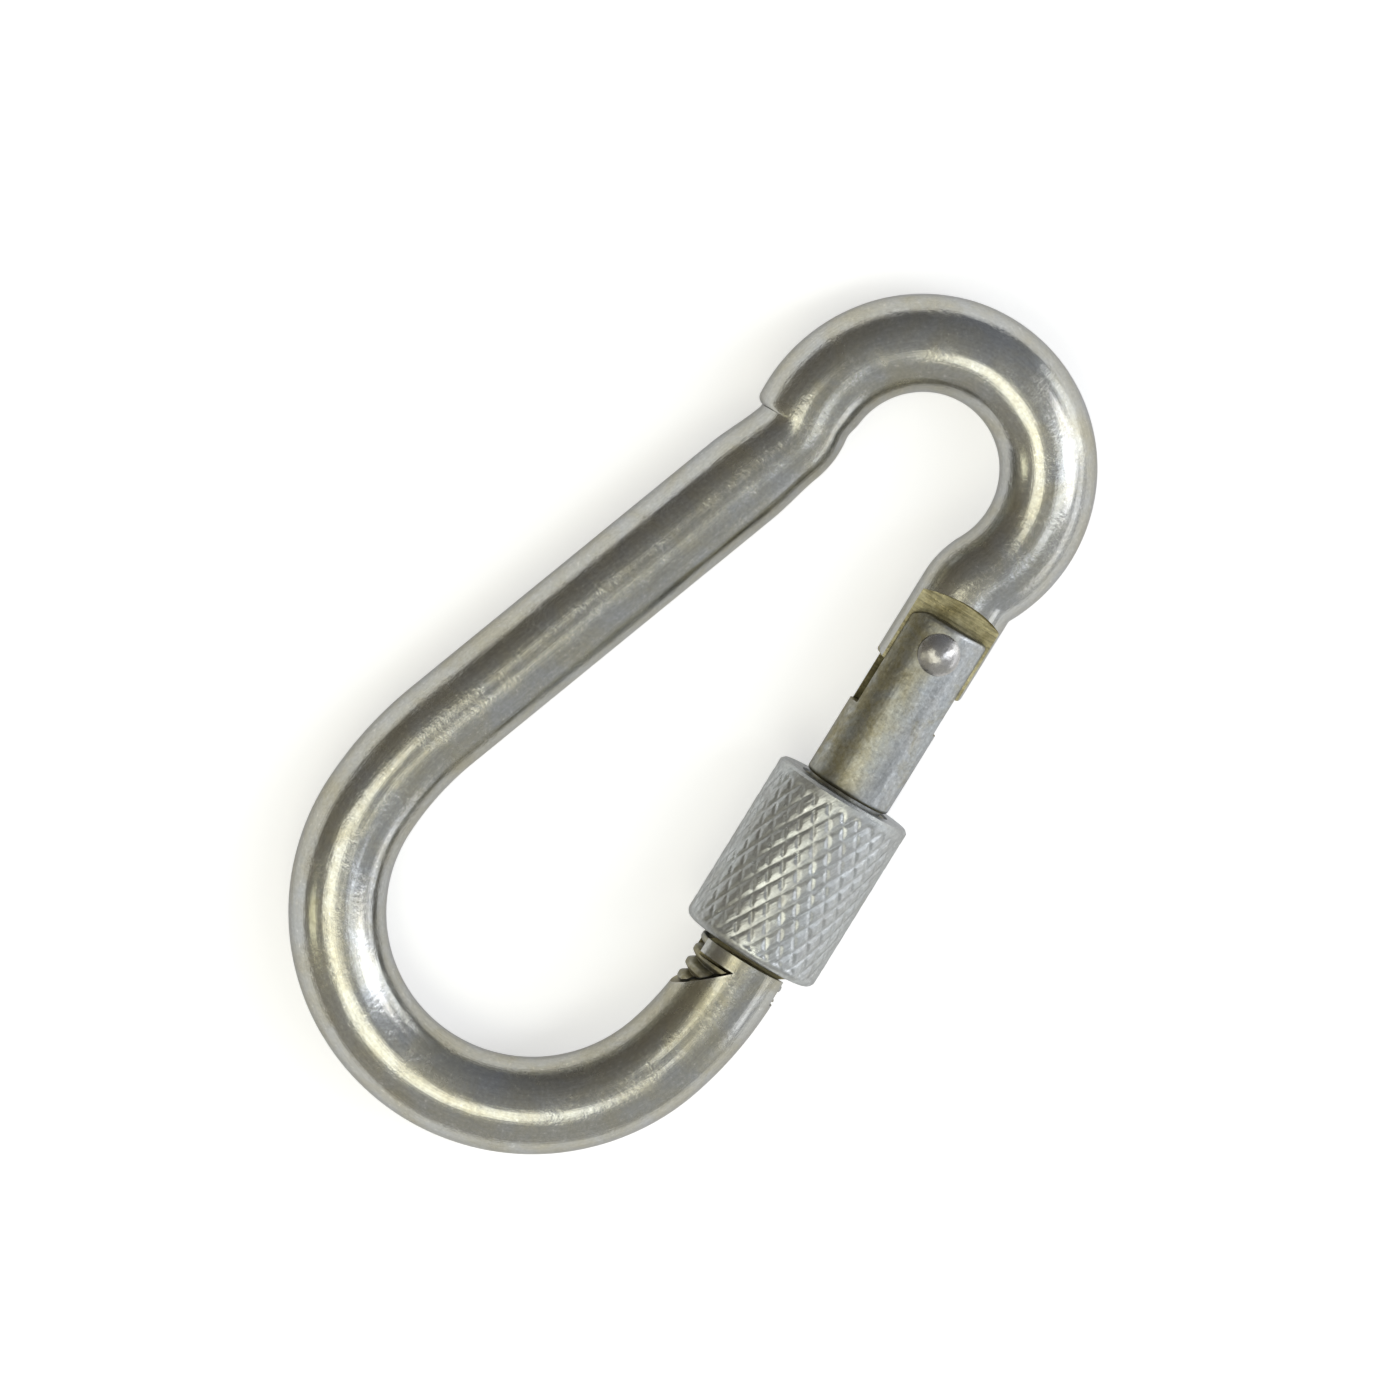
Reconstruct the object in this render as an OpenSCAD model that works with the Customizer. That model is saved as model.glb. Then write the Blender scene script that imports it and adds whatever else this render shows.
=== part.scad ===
// Screwgate carabiner bent from round bar: a pear-shaped loop with a large and a small bow,
// a hinged gate with a threaded, T-headed end, and a knurled nut that screws over the nose.
// The loop lies in the XY plane. The origin is the centre of the large bow, +Y points to the
// small bow, and +X points to the gate.

/* [Bar] */
// Diameter of the round bar
bar_d = 9.7; // [8.6:0.1:10.2]
// Sides of the bar's drawn section
bar_sides = 32; // [24:4:40]
// Largest turn between two drawn sections of a bend, in degrees
bend_step = 6.5; // [5:0.5:9]

/* [Loop] */
// Centreline radius of the large bow
large_bow_r = 19.55; // [18:0.05:22]
// Centreline radius of the small bow
small_bow_r = 12.6; // [12:0.05:14]
// Distance between the centres of the two bows
bow_spacing = 58; // [56:0.5:62]
// How far the line of a leg lies inside the circle of the small bow
neck_in = 2.12; // [1.6:0.02:3]
// How far the line of a leg lies outside the circle of the large bow
leg_swell = 0.7; // [0.4:0.05:1.2]
// Centreline radius of the flank between the large bow and a leg
flank_r = 35; // [30:0.5:50]

/* [Joggles below the small bow] */
// Radius of the hollow outside the joggle, where a leg meets the small bow
hollow_r = 0.55; // [0.3:0.05:3]
// How far the small bow's end stands out over the spine leg
lip_h = 0.3; // [0.1:0.05:0.6]
// Angle of the small bow over which that lip grows, in degrees
lip_angle = 50; // [30:5:80]
// Radius with which the lip's outer side curls in to the leg
lip_r = 1; // [1:0.1:1.4]
// How much the press flattened the spine's outer and inner sides at the joggle
pinch = 0.35; // [0.05:0.05:0.4]
// Length of leg over which the flattening fades out
pinch_fade = 6; // [4:0.5:10]
// Angle of the small bow over which it fades out on the inner side, in degrees
pinch_turn = 14; // [10:1:20]

/* [Hinge] */
// Distance down the leg from the joggle to the hinge axis
hinge_drop = 6; // [5.8:0.1:8]
// Thickness of the tongue at the end of the bar
tongue_t = 4; // [3.6:0.1:4.4]
// Reach of the tongue beyond the hinge axis
tongue_reach = 3.2; // [2.8:0.1:3.6]
// Radius of the corners at the tongue's end
tongue_corner_r = 0.8; // [0.4:0.1:1.2]
// Distance from the hinge axis to the middle of the tongue's shoulder
shoulder_up = 5.4; // [5.2:0.1:6.2]
// Radius of the cutter that left the shoulder
shoulder_r = 14; // [12:0.5:20]
// Diameter of the rivet between its heads
rivet_d = 3.2; // [2.8:0.1:3.4]
// Diameter of the rivet's heads
rivet_head_d = 4.1; // [3.9:0.1:4.4]
// Depth from the gate's surface to which a rivet head fills its seat
rivet_seat = 1.1; // [0.8:0.1:1.4]
// Height of a rivet head's straight rim over the gate's surface
rivet_rim = 0.05; // [0:0.05:0.2]
// Height of a rivet head's dome
rivet_dome = 0.95; // [0.6:0.05:1.2]

/* [Gate] */
// Diameter of the gate's plain rod
rod_d = 9.2; // [8.6:0.05:9.4]
// Distance from the hinge axis to the top of the gate's ears
ear_up = 3; // [2.8:0.1:3.4]
// Radius of the ears' corner on the inner side, which turns past the shoulder
ear_inner_r = 2.6; // [2.2:0.1:3]
// Radius of the ears' corner on the outer side
ear_outer_r = 1.2; // [0.8:0.1:1.8]
// Depth of the fork slot below the hinge axis on the inner side
slot_inner = 8.4; // [7.6:0.1:9]
// Depth of the fork slot below the hinge axis on the outer side
slot_outer = 7.3; // [6.8:0.1:8]
// Rounding at the end of the plain rod
rod_round = 0.45; // [0.2:0.05:0.8]
// Length of the relief between the plain rod and the thread
relief_w = 0.4; // [0.3:0.1:1.2]
// Outside diameter of the thread
thread_d = 9.6; // [9.3:0.05:9.7]
// Root diameter of the thread
thread_root_d = 8.1; // [7.8:0.05:8.4]
// Pitch of the thread
thread_pitch = 1.5; // [1.25:0.25:1.75]
// Thickness of the blade that drops between the nose's prongs
blade_t = 4; // [3.6:0.1:4.4]
// Length of the T-head below the load face
head_len = 3.45; // [3:0.05:3.8]

/* [Nose] */
// Height of the prongs' tips up the leg, from the foot of the large bow's normal
nose_up = 6.75; // [6:0.05:8]
// Distance from the prongs' tips to the load face of the notch
prong_len = 1.5; // [1.4:0.05:2]
// Distance of the notch's inner edge from the gate's axis, towards the loop
notch_in = 0.75; // [0.4:0.05:1.2]
// Angle between the notch's two faces, in degrees
notch_angle = 45; // [40:1:50]
// Rounding of the prongs' load corner
prong_round = 0.7; // [0.3:0.1:1]
// Distance from the load face to the floor of the fork slot in the nose
nose_slot_deep = 1.2; // [1.1:0.1:2]

/* [Nut] */
// Outside diameter of the nut
nut_d = 14.6; // [14:0.1:15]
// Length of the nut
nut_len = 18.4; // [17.8:0.1:18.5]
// Distance from the end of the plain rod to the backed-off nut
nut_gap = 0.25; // [0.2:0.05:0.5]
// Clearance of the backed-off nut's rim as it swings past the prongs
swing_play = 0.1; // [0.05:0.05:0.3]
// Chamfer on the nut's end next to the hinge
nut_chamfer = 0.3; // [0.1:0.05:0.6]
// Rounding of the nut's end next to the nose
nut_round = 0.9; // [0.8:0.05:1.2]
// Depth of the counterbore that passes over the nose
nut_bore_deep = 6; // [5.5:0.1:8]

/* [Knurl] */
// Grooves of one hand round the nut
knurl_grooves = 27; // [24:1:32]
// Lean of a groove from the nut's axis, in degrees
knurl_lean = 30; // [25:1:35]
// Depth at which two grooves cross
knurl_deep = 0.15; // [0.1:0.05:0.3]
// Width of the plain band between the chamfer and the knurl
knurl_rim = 0.4; // [0.2:0.1:1.5]

/* [Plunger and spring] */
// Diameter of the plunger's head
plunger_d = 3.9; // [3.4:0.1:4]
// Radius of the plunger's domed tip
plunger_tip_r = 2.5; // [2.2:0.1:4]
// Length of the plunger's head
plunger_head = 8.2; // [7:0.1:9]
// Diameter of the plunger's stem
plunger_stem_d = 2; // [1.6:0.1:2.2]
// Length of the plunger's stem
plunger_stem = 3.5; // [2:0.1:5]
// Distance from the hinge axis to the floor of the spring bore
spring_floor = 24; // [22:0.5:27]
// Wire diameter of the closing spring
wire_d = 0.55; // [0.45:0.05:0.6]
// Number of turns of the closing spring
spring_turns = 8; // [6:1:10]

/* [Clearances] */
// Play on each side of the tongue and of the blade in their slots
slot_play = 0.1; // [0.05:0.05:0.15]
// Radial play of the rivet in its holes
rivet_play = 0.05; // [0.03:0.01:0.1]
// Radial play of the nut on the thread
nut_play = 0.1; // [0.05:0.05:0.15]
// Radial play of the counterbore over the nose
nose_play = 0.3; // [0.25:0.05:0.35]
// Play between the T-head and the faces of the notch
head_play = 0.2; // [0.15:0.05:0.3]
// Lift of the T-head from the load face, so that it swings clear
head_lift = 0.35; // [0.35:0.05:0.45]
// Gap between the prongs' floor and the blade's end
blade_play = 0.4; // [0.3:0.05:0.6]
// Gap between the full thread and the prongs' tips
tip_play = 1; // [0.95:0.05:1.2]
// Gap between the plunger's tip and the tongue
tip_gap = 0.1; // [0.05:0.05:0.2]
// Radial play of the plunger in its bore
plunger_play = 0.15; // [0.1:0.05:0.25]
// Gap at each end of the closing spring
spring_gap = 0.05; // [0.02:0.01:0.1]

/* [Hidden] */
$fn = 64;

bar_r = bar_d / 2;
rod_r = rod_d / 2;
thread_r = thread_d / 2;
root_r = thread_root_d / 2;
// Taller than any cut through the bar's thickness
tall = 3 * bar_d;
// Wider on each side than any cut across the bar
wide = 0.8 * bar_d;
// Sections over which the leg narrows below the joggle
fade_sections = 4;
// Sections of the lip's curl and of the nut's rounded rim
curl_sections = 4;
rim_sections = 3;
// Sections in one turn of the closing spring, and sides of its wire
turn_sections = 14;
wire_sides = 6;

// A leg's own frame has its first axis outward and its second axis up along the leg.
leg_off = large_bow_r + leg_swell;
leg_lean = asin((leg_off - small_bow_r + neck_in) / bow_spacing);
joggle_r = bar_r + hollow_r;
flank_turn = acos(1 - leg_swell / (flank_r - large_bow_r));
flank_c = [-(flank_r - large_bow_r) * cos(flank_turn), (flank_r - large_bow_r) * sin(flank_turn)];
small_bow_c = [bow_spacing * sin(leg_lean), bow_spacing * cos(leg_lean)];
joggle_turn = acos((leg_off + joggle_r - small_bow_c[0]) / (small_bow_r + joggle_r));
joggle_up = small_bow_c[1] - (small_bow_r + joggle_r) * sin(joggle_turn);
joggle_c = [leg_off + joggle_r, joggle_up];
// Direction in which the small bow starts, below the cross line through its centre
bow_start = leg_lean - joggle_turn;

hinge_up = joggle_up - hinge_drop;
prong_tip = hinge_up - nose_up;
load_face = prong_tip + prong_len;
// The rounded rim of the backed-off nut just clears the prongs when the gate swings.
nut_end = nut_round + sqrt(pow(prong_tip - swing_play - nut_round, 2) - pow(nut_d / 2 - nut_round, 2));
nut_top = nut_end - nut_len;
rod_end = nut_top - nut_gap;
slot_w = tongue_t + 2 * slot_play;
nose_slot_w = blade_t + 2 * slot_play;
slot_floor = load_face + nose_slot_deep;
full_thread_end = prong_tip - tip_play;
crest_w = thread_pitch / 8;
head_top = load_face + head_lift;
head_end = load_face + head_len;
bore_r = plunger_d / 2 + plunger_play;
plunger_top = tongue_reach + tip_gap;
spring_top = plunger_top + plunger_head + spring_gap;
spring_bottom = spring_floor - spring_gap;

function dir(a) = [cos(a), sin(a)];
function turned(p, a) = [p[0] * cos(a) - p[1] * sin(a), p[0] * sin(a) + p[1] * cos(a)];
function mirrored(rings) = [for (i = [len(rings) - 1:-1:0])
    let(s = rings[i]) [[-s[0][0], s[0][1]], 180 - s[1], s[2], s[3]]];

// From 0 to 1, starting and ending gently
function ease(f) = (1 - cos(180 * max(0, min(1, f)))) / 2;

// A section of the bar is its centre, the direction of its outward side, and how far its outer
// and inner sides are moved along that direction.
function bend(c, r, from, to, out = 0, in = 0) = let(n = ceil(abs(to - from) / bend_step))
    [for (i = [1:n]) let(a = from + (to - from) * i / n) [c + r * dir(a), a, out, in]];
function leg_point(p) = turned(p, leg_lean);
function leg_section(t, out = 0, in = 0) = [leg_point([leg_off, t]), leg_lean, out, in];

// The end of the spine leg is flattened where the press gripped it, and turns outward into the joggle.
pinched_leg = concat(
    [for (i = [1:fade_sections]) let(f = i / fade_sections)
        leg_section(joggle_up - pinch_fade * (1 - f), -pinch * ease(f), pinch * ease(f))],
    bend(leg_point(joggle_c), -joggle_r, leg_lean, bow_start, -pinch, pinch));

// The spine half of the small bow ends in a lip, whose outer side curls in to the flattened leg.
bow_c = [0, bow_spacing];
spine_start = 180 - bow_start;
curl_turn = acos(1 - (lip_h + pinch) / lip_r);
curl_start = spine_start - bow_angle(lip_r * sin(curl_turn));
function bow_angle(run) = run / (small_bow_r + bar_r) * 180 / PI;
function spine_section(a, curl = 0) = [bow_c + small_bow_r * dir(a), a,
    lip_h * pow(max(0, (a - spine_start + lip_angle) / lip_angle), 2) - lip_r * (1 - cos(curl)),
    pinch * ease((a - spine_start + pinch_turn) / pinch_turn)];
spine_bow = concat(
    [for (s = bend(bow_c, small_bow_r, 90, curl_start)) spine_section(s[1])],
    [for (i = [1:curl_sections - 1]) let(t = curl_turn * i / curl_sections)
        spine_section(curl_start + bow_angle(lip_r * sin(t)), t)]);

bar_rings = concat(
    [leg_section(hinge_up - tongue_reach)],
    [leg_section(joggle_up)],
    bend(leg_point(joggle_c), -joggle_r, leg_lean, bow_start),
    bend(bow_c, small_bow_r, bow_start, 90),
    spine_bow,
    mirrored(pinched_leg),
    mirrored([leg_section(flank_c[1])]),
    bend(turned([-flank_c[0], flank_c[1]], -leg_lean), flank_r, 180 - leg_lean, 180 - leg_lean + flank_turn),
    bend([0, 0], large_bow_r, 180 - leg_lean + flank_turn, 360 + leg_lean - flank_turn),
    bend(leg_point(flank_c), flank_r, leg_lean - flank_turn, leg_lean),
    [leg_section(hinge_up - prong_tip)]
);

// Joins closed sections, listed in order along a path, into one solid. Its cells have four sides,
// or are split along diagonals that cross from one section to the next.
module skin(sections, crossed = false) {
    n = len(sections[0]);
    last = len(sections) - 1;
    polyhedron(
        points = [for (s = sections) each s],
        faces = concat(
            [[for (k = [0:n - 1]) k]],
            [for (i = [0:last - 1], k = [0:n - 1])
                let(a = i * n + k, b = a + n, c = (i + 1) * n + (k + 1) % n, d = c - n)
                each !crossed ? [[a, b, c, d]]
                    : (i + k) % 2 == 0 ? [[a, b, c], [a, c, d]] : [[a, b, d], [b, c, d]]],
            [[for (k = [n - 1:-1:0]) last * n + k]]),
        convexity = 6);
}

module swept_bar(rings) {
    skin([for (s = rings) [for (k = [0:bar_sides - 1]) let(
        q = 360 * (k + 0.5) / bar_sides,
        across = bar_r * cos(q) + (cos(q) > 0 ? s[2] : s[3]) * pow(cos(q), 2))
        [s[0][0] + across * cos(s[1]), s[0][1] + across * sin(s[1]), bar_r * sin(q)]]]);
}

// The gate's frame starts at the hinge axis: +X runs down the gate to the nose, +Y points outward.
module on_gate() {
    rotate([0, 0, leg_lean]) translate([leg_off, hinge_up, 0]) rotate([0, 0, -90]) children();
}

// A round bar along +X
module rod(d, from, to) {
    translate([from, 0, 0]) rotate([0, 90, 0]) cylinder(d = d, h = to - from);
}

// A flat outline in the plane of the loop, given a thickness about that plane
module slab(t) {
    translate([0, 0, -t / 2]) linear_extrude(t) children();
}

// What the cutter clears on one side of the tongue
module shoulder_cut() {
    translate([0, 0, tongue_t / 2]) linear_extrude(bar_d) {
        translate([shoulder_r - shoulder_up, 0]) circle(shoulder_r);
        translate([shoulder_r - shoulder_up, -shoulder_r]) square([shoulder_r, 2 * shoulder_r]);
    }
}

// Rounds off the tongue's two corners
module tongue_corners() {
    for (side = [-1, 1]) slab(tall) difference() {
        translate([tongue_reach - tongue_corner_r, side * (bar_r - tongue_corner_r / 2) - bar_r / 2])
            square([bar_r, bar_r]);
        translate([tongue_reach - tongue_corner_r, side * (bar_r - tongue_corner_r)]) circle(tongue_corner_r);
        translate([-bar_d, side * (bar_r - tongue_corner_r) - (side > 0 ? bar_d : 0)])
            square([2 * bar_d, bar_d]);
    }
}

// The V notch that takes the T-head: a load face square to the gate, and a sloping lower face
module notch() {
    corner = [load_face, -bar_r + prong_round / 2];
    slab(tall) {
        polygon([[load_face, -notch_in], [load_face, -wide],
            [load_face + (wide - notch_in) * tan(notch_angle), -wide]]);
        difference() {
            translate(corner - [prong_round, bar_r]) square([2 * prong_round, bar_r]);
            translate(corner - [prong_round, 0]) circle(prong_round);
        }
    }
}

module hook_body() {
    color("#9c9a92") difference() {
        swept_bar(bar_rings);
        on_gate() {
            shoulder_cut();
            mirror([0, 0, 1]) shoulder_cut();
            tongue_corners();
            cylinder(r = rivet_d / 2 + rivet_play, h = tall, center = true);
            slab(nose_slot_w) translate([prong_tip - bar_r, -wide])
                square([slot_floor - prong_tip + bar_r, 2 * wide]);
            notch();
        }
    }
}

// Outline of the gate's ears: a flat top with a large inner and a small outer corner
module ear_outline() {
    inner = [ear_inner_r - ear_up, ear_inner_r - rod_r];
    outer = [ear_outer_r - ear_up, rod_r - ear_outer_r];
    translate(inner) circle(ear_inner_r);
    translate(outer) circle(ear_outer_r);
    translate([-ear_up, inner[1]]) square([ear_up + rod_end, outer[1] - inner[1]]);
    translate([outer[0], 0]) square([rod_end - outer[0], rod_r]);
    translate([inner[0], -rod_r]) square([rod_end - inner[0], rod_r]);
}

// Outline of the T-head, which fills the notch with a little play
module head_outline() {
    shift = head_play * [-cos(notch_angle), -sin(notch_angle)];
    edge = [load_face, -notch_in] + shift;
    top_y = edge[1] - (head_top - edge[0]) / tan(notch_angle);
    end_y = edge[1] - (head_end - edge[0]) / tan(notch_angle);
    polygon([[head_top, -bar_d], [head_top, top_y], [head_end, end_y], [head_end, -bar_d]]);
}

// The thread's ridges, drawn as rings
module thread_rings() {
    first = rod_end + relief_w;
    rings = ceil((head_end - first) / thread_pitch);
    rotate([0, 90, 0]) rotate_extrude() rotate(90) polygon(concat([[first, 0]],
        [for (i = [0:rings - 1]) let(x = first + i * thread_pitch) each [[x, -root_r],
            [x + (thread_pitch - crest_w) / 2, -thread_r], [x + (thread_pitch + crest_w) / 2, -thread_r]]],
        [[first + rings * thread_pitch, -root_r], [first + rings * thread_pitch, 0]]));
}

// The threaded rod, cut down to a blade that ends in the T-head
module gate_end() {
    intersection() {
        thread_rings();
        union() {
            slab(tall) translate([rod_end, -bar_d]) square([full_thread_end - rod_end, 2 * bar_d]);
            slab(blade_t) translate([full_thread_end - bar_r, -bar_d])
                square([slot_floor - blade_play - full_thread_end + bar_r, 2 * bar_d]);
            slab(tall) head_outline();
        }
    }
}

module gate() {
    color("#a3a099") on_gate() difference() {
        union() {
            intersection() {
                rotate([0, 90, 0]) translate([0, 0, -ear_up]) rotate_extrude() {
                    square([rod_r, rod_end + ear_up - rod_round]);
                    square([rod_r - rod_round, rod_end + ear_up]);
                    translate([rod_r - rod_round, rod_end + ear_up - rod_round]) circle(rod_round);
                }
                slab(tall) ear_outline();
            }
            rod(thread_root_d, rod_end - rod_round, rod_end + thread_pitch);
            gate_end();
        }
        slab(slot_w) polygon([[-bar_d, -bar_d], [slot_inner, -bar_d], [slot_inner, -rod_r],
            [slot_outer, rod_r], [slot_outer, bar_d], [-bar_d, bar_d]]);
        cylinder(r = rivet_d / 2 + rivet_play, h = tall, center = true);
        for (side = [0, 1]) mirror([0, 0, side]) translate([0, 0, rod_r - rivet_seat - rivet_play])
            cylinder(r = rivet_head_d / 2 + rivet_play, h = bar_r);
        rod(2 * bore_r, tongue_reach, spring_floor);
    }
}

// One half of the rivet: its shank and a head that fills its seat and ends in a dome
module rivet_half() {
    rim = rod_r + rivet_rim;
    head_r = rivet_head_d / 2;
    dome_r = (head_r * head_r + rivet_dome * rivet_dome) / (2 * rivet_dome);
    rotate_extrude() {
        square([rivet_d / 2, rim]);
        translate([0, rod_r - rivet_seat]) square([head_r, rim - rod_r + rivet_seat]);
        intersection() {
            translate([0, rim + rivet_dome - dome_r]) circle(dome_r);
            translate([0, rod_r - rivet_seat]) square([head_r, bar_r]);
        }
    }
}

module hinge_rivet() {
    color("#c9c8c6") on_gate() {
        rivet_half();
        mirror([0, 0, 1]) rivet_half();
    }
}

// The nut's barrel along +Z: its points stand on the knurl's diamonds and sink where grooves cross.
module knurled_barrel() {
    outer = nut_d / 2;
    sides = 2 * knurl_grooves;
    first = nut_chamfer + knurl_rim;
    last = nut_len - nut_round;
    rows = round((last - first) * sides * tan(knurl_lean) / (PI * nut_d));
    rings = concat(
        [[0, outer - nut_chamfer, 0], [nut_chamfer, outer, 0], [first, outer, 0]],
        [for (i = [1:rows - 1]) [first + (last - first) * i / rows, outer, knurl_deep]],
        [[last, outer, 0]],
        [for (i = [1:rim_sections]) let(t = 90 * i / rim_sections)
            [last + nut_round * sin(t), outer - nut_round * (1 - cos(t)), 0]]);
    skin([for (i = [0:len(rings) - 1]) [for (k = [0:sides - 1])
        let(a = -360 * k / sides, r = rings[i][1] - ((i + k) % 2 == 0 ? rings[i][2] : 0))
        [r * cos(a), r * sin(a), rings[i][0]]]], crossed = true);
}

module lock_nut() {
    bore = thread_r + nut_play;
    counterbore = bar_r + nose_play;
    color("#c4c6c6") on_gate() translate([nut_top, 0, 0]) rotate([0, 90, 0]) difference() {
        knurled_barrel();
        translate([0, 0, -nut_len]) cylinder(r = bore, h = 3 * nut_len);
        translate([0, 0, nut_len - nut_bore_deep]) cylinder(r = counterbore, h = nut_len);
    }
}

module plunger() {
    head_r = plunger_d / 2;
    color("#8f8d88") on_gate() translate([plunger_top, 0, 0]) rotate([0, 90, 0]) rotate_extrude() {
        intersection() {
            square([head_r, plunger_head]);
            translate([0, plunger_tip_r]) {
                circle(plunger_tip_r);
                square([head_r, plunger_head]);
            }
        }
        square([plunger_stem_d / 2, plunger_head + plunger_stem]);
    }
}

module closing_spring() {
    coil_r = bore_r - plunger_play - wire_d / 2;
    last = spring_turns * turn_sections;
    rise = spring_bottom - spring_top - wire_d;
    color("#6f6f70") on_gate() skin([for (i = [0:last])
        let(a = 360 * i / turn_sections, x = spring_top + wire_d / 2 + rise * i / last)
        [for (k = [0:wire_sides - 1]) let(q = -360 * k / wire_sides, r = coil_r + wire_d / 2 * cos(q))
            [x + wire_d / 2 * sin(q), r * cos(a), r * sin(a)]]]);
}

hook_body();
gate();
hinge_rivet();
lock_nut();
plunger();
closing_spring();
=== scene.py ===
"""A screwgate carabiner bent from round bar, dressed for a studio picture.

The solids give every size and place. This file lays smooth, zinc-plated pieces over them: the bent
bar with its milled ends, the gate with its cut thread, the knurled nut, the rivet, and the plunger
and spring inside the gate.
"""

import math
from types import SimpleNamespace

import bmesh
import bpy
import numpy as np
from bpy.props import FloatProperty, FloatVectorProperty, IntProperty, PointerProperty
from mathutils import Matrix, Vector


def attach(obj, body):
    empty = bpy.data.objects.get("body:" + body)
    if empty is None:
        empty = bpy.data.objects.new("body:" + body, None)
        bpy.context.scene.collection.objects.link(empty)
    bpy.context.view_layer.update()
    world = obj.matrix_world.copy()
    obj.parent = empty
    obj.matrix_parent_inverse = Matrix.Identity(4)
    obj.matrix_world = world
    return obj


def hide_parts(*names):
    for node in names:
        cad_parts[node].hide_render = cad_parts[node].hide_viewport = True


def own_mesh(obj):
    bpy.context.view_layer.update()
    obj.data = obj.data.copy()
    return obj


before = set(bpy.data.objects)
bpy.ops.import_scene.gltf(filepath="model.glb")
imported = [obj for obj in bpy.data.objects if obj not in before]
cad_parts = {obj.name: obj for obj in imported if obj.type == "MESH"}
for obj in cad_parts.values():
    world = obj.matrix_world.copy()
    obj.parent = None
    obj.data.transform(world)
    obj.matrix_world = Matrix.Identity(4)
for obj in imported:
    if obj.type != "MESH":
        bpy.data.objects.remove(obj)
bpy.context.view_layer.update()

bl_info = {
    "name": "Screwgate carabiner",
    "version": (1, 0, 0),
    "blender": (4, 5, 0),
    "location": "3D View > Sidebar > Carabiner",
    "description": "Builds the plated pieces of a screwgate carabiner over its solids",
    "category": "Object",
}

MM = 0.001
# Edges that turn by more than this stay crisp.
CRISP = math.radians(32)
# Points nearer to each other than this are one point, in millimetres, in a new shape and after a cut.
DOUBLES, WELD = 1e-4, 0.002
# How far, in millimetres, a cutting tool reaches past the metal, and how far joined bodies overlap.
PAST = 2
OVERLAP = 0.5
# Sides of what is turned, drilled and peened.
ROD_SIDES, HOLE_SIDES, SEAT_SIDES, RIVET_SIDES = 96, 48, 64, 72
# Kinds of node that are used most.
MATH, VECTOR_MATH, MAP_RANGE = "ShaderNodeMath", "ShaderNodeVectorMath", "ShaderNodeMapRange"
FLOAT = "NodeSocketFloat"


def linear(hex_colour):
    """The linear values of an sRGB hex colour."""
    parts = [int(hex_colour[i:i + 2], 16) / 255 for i in (1, 3, 5)]
    return tuple(c / 12.92 if c <= 0.04045 else ((c + 0.055) / 1.055) ** 2.4 for c in parts)


def length(name, what, mm):
    """A property for a length, in millimetres, that is kept in metres."""
    return FloatProperty(name=name, description=what, default=mm * MM, min=0, unit="LENGTH", precision=5)


def angle(name, what, degrees):
    """A property for an angle, given in degrees."""
    return FloatProperty(name=name, description=what, default=math.radians(degrees), subtype="ANGLE")


def tint(name, what, hex_colour):
    """A property for a colour, given as sRGB hex."""
    return FloatVectorProperty(name=name, description=what, default=linear(hex_colour), min=0, max=1,
                               size=3, subtype="COLOR")


class LoopSizes(bpy.types.PropertyGroup):
    bar_d: length("Bar", "Diameter of the round bar", 9.7)
    large_bow_r: length("Large bow", "Centreline radius of the large bow", 19.55)
    small_bow_r: length("Small bow", "Centreline radius of the small bow", 12.6)
    bow_spacing: length("Bow spacing", "Distance between the centres of the two bows", 58)
    leg_swell: length("Leg swell", "How far a leg's line lies outside the large bow", 0.7)
    neck_in: length("Neck", "How far a leg's line lies inside the small bow", 2.12)
    flank_r: length("Flank", "Centreline radius between the large bow and a leg", 35)
    hollow_r: length("Hollow", "Radius of the hollow where a leg meets the small bow", 0.55)
    lip_h: length("Lip", "How far the small bow's end stands out over the spine", 0.3)
    lip_angle: angle("Lip angle", "Angle of the small bow over which the lip grows", 50)
    lip_r: length("Lip curl", "Radius with which the lip curls in to the leg", 1)
    pinch: length("Pinch", "How much the press flattened the spine at the joggle", 0.35)
    pinch_fade: length("Pinch fade", "Length of leg over which the flattening fades out", 6)
    pinch_turn: angle("Pinch turn", "Angle of the small bow over which it fades out inside", 14)


class HingeSizes(bpy.types.PropertyGroup):
    drop: length("Hinge drop", "Distance down the leg from the joggle to the hinge axis", 6)
    tongue_t: length("Tongue", "Thickness of the tongue", 4)
    tongue_reach: length("Tongue reach", "Reach of the tongue beyond the hinge axis", 3.2)
    tongue_corner_r: length("Tongue corner", "Radius of the tongue's corners", 0.8)
    shoulder_up: length("Shoulder", "Distance from the hinge axis to the tongue's shoulder", 5.4)
    shoulder_r: length("Cutter", "Radius of the cutter that left the shoulder", 14)
    shoulder_lean: angle("Shoulder lean", "How far the shoulder's wall leans back from square", 6)
    rivet_d: length("Rivet", "Diameter of the rivet between its heads", 3.2)
    head_d: length("Rivet head", "Diameter of the rivet's heads", 4.1)
    seat: length("Rivet seat", "Depth to which a rivet head fills its seat", 1.1)
    rim: length("Rivet rim", "Height of a rivet head's straight rim", 0.05)
    dome: length("Rivet dome", "Height of a rivet head's dome", 0.95)


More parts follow.
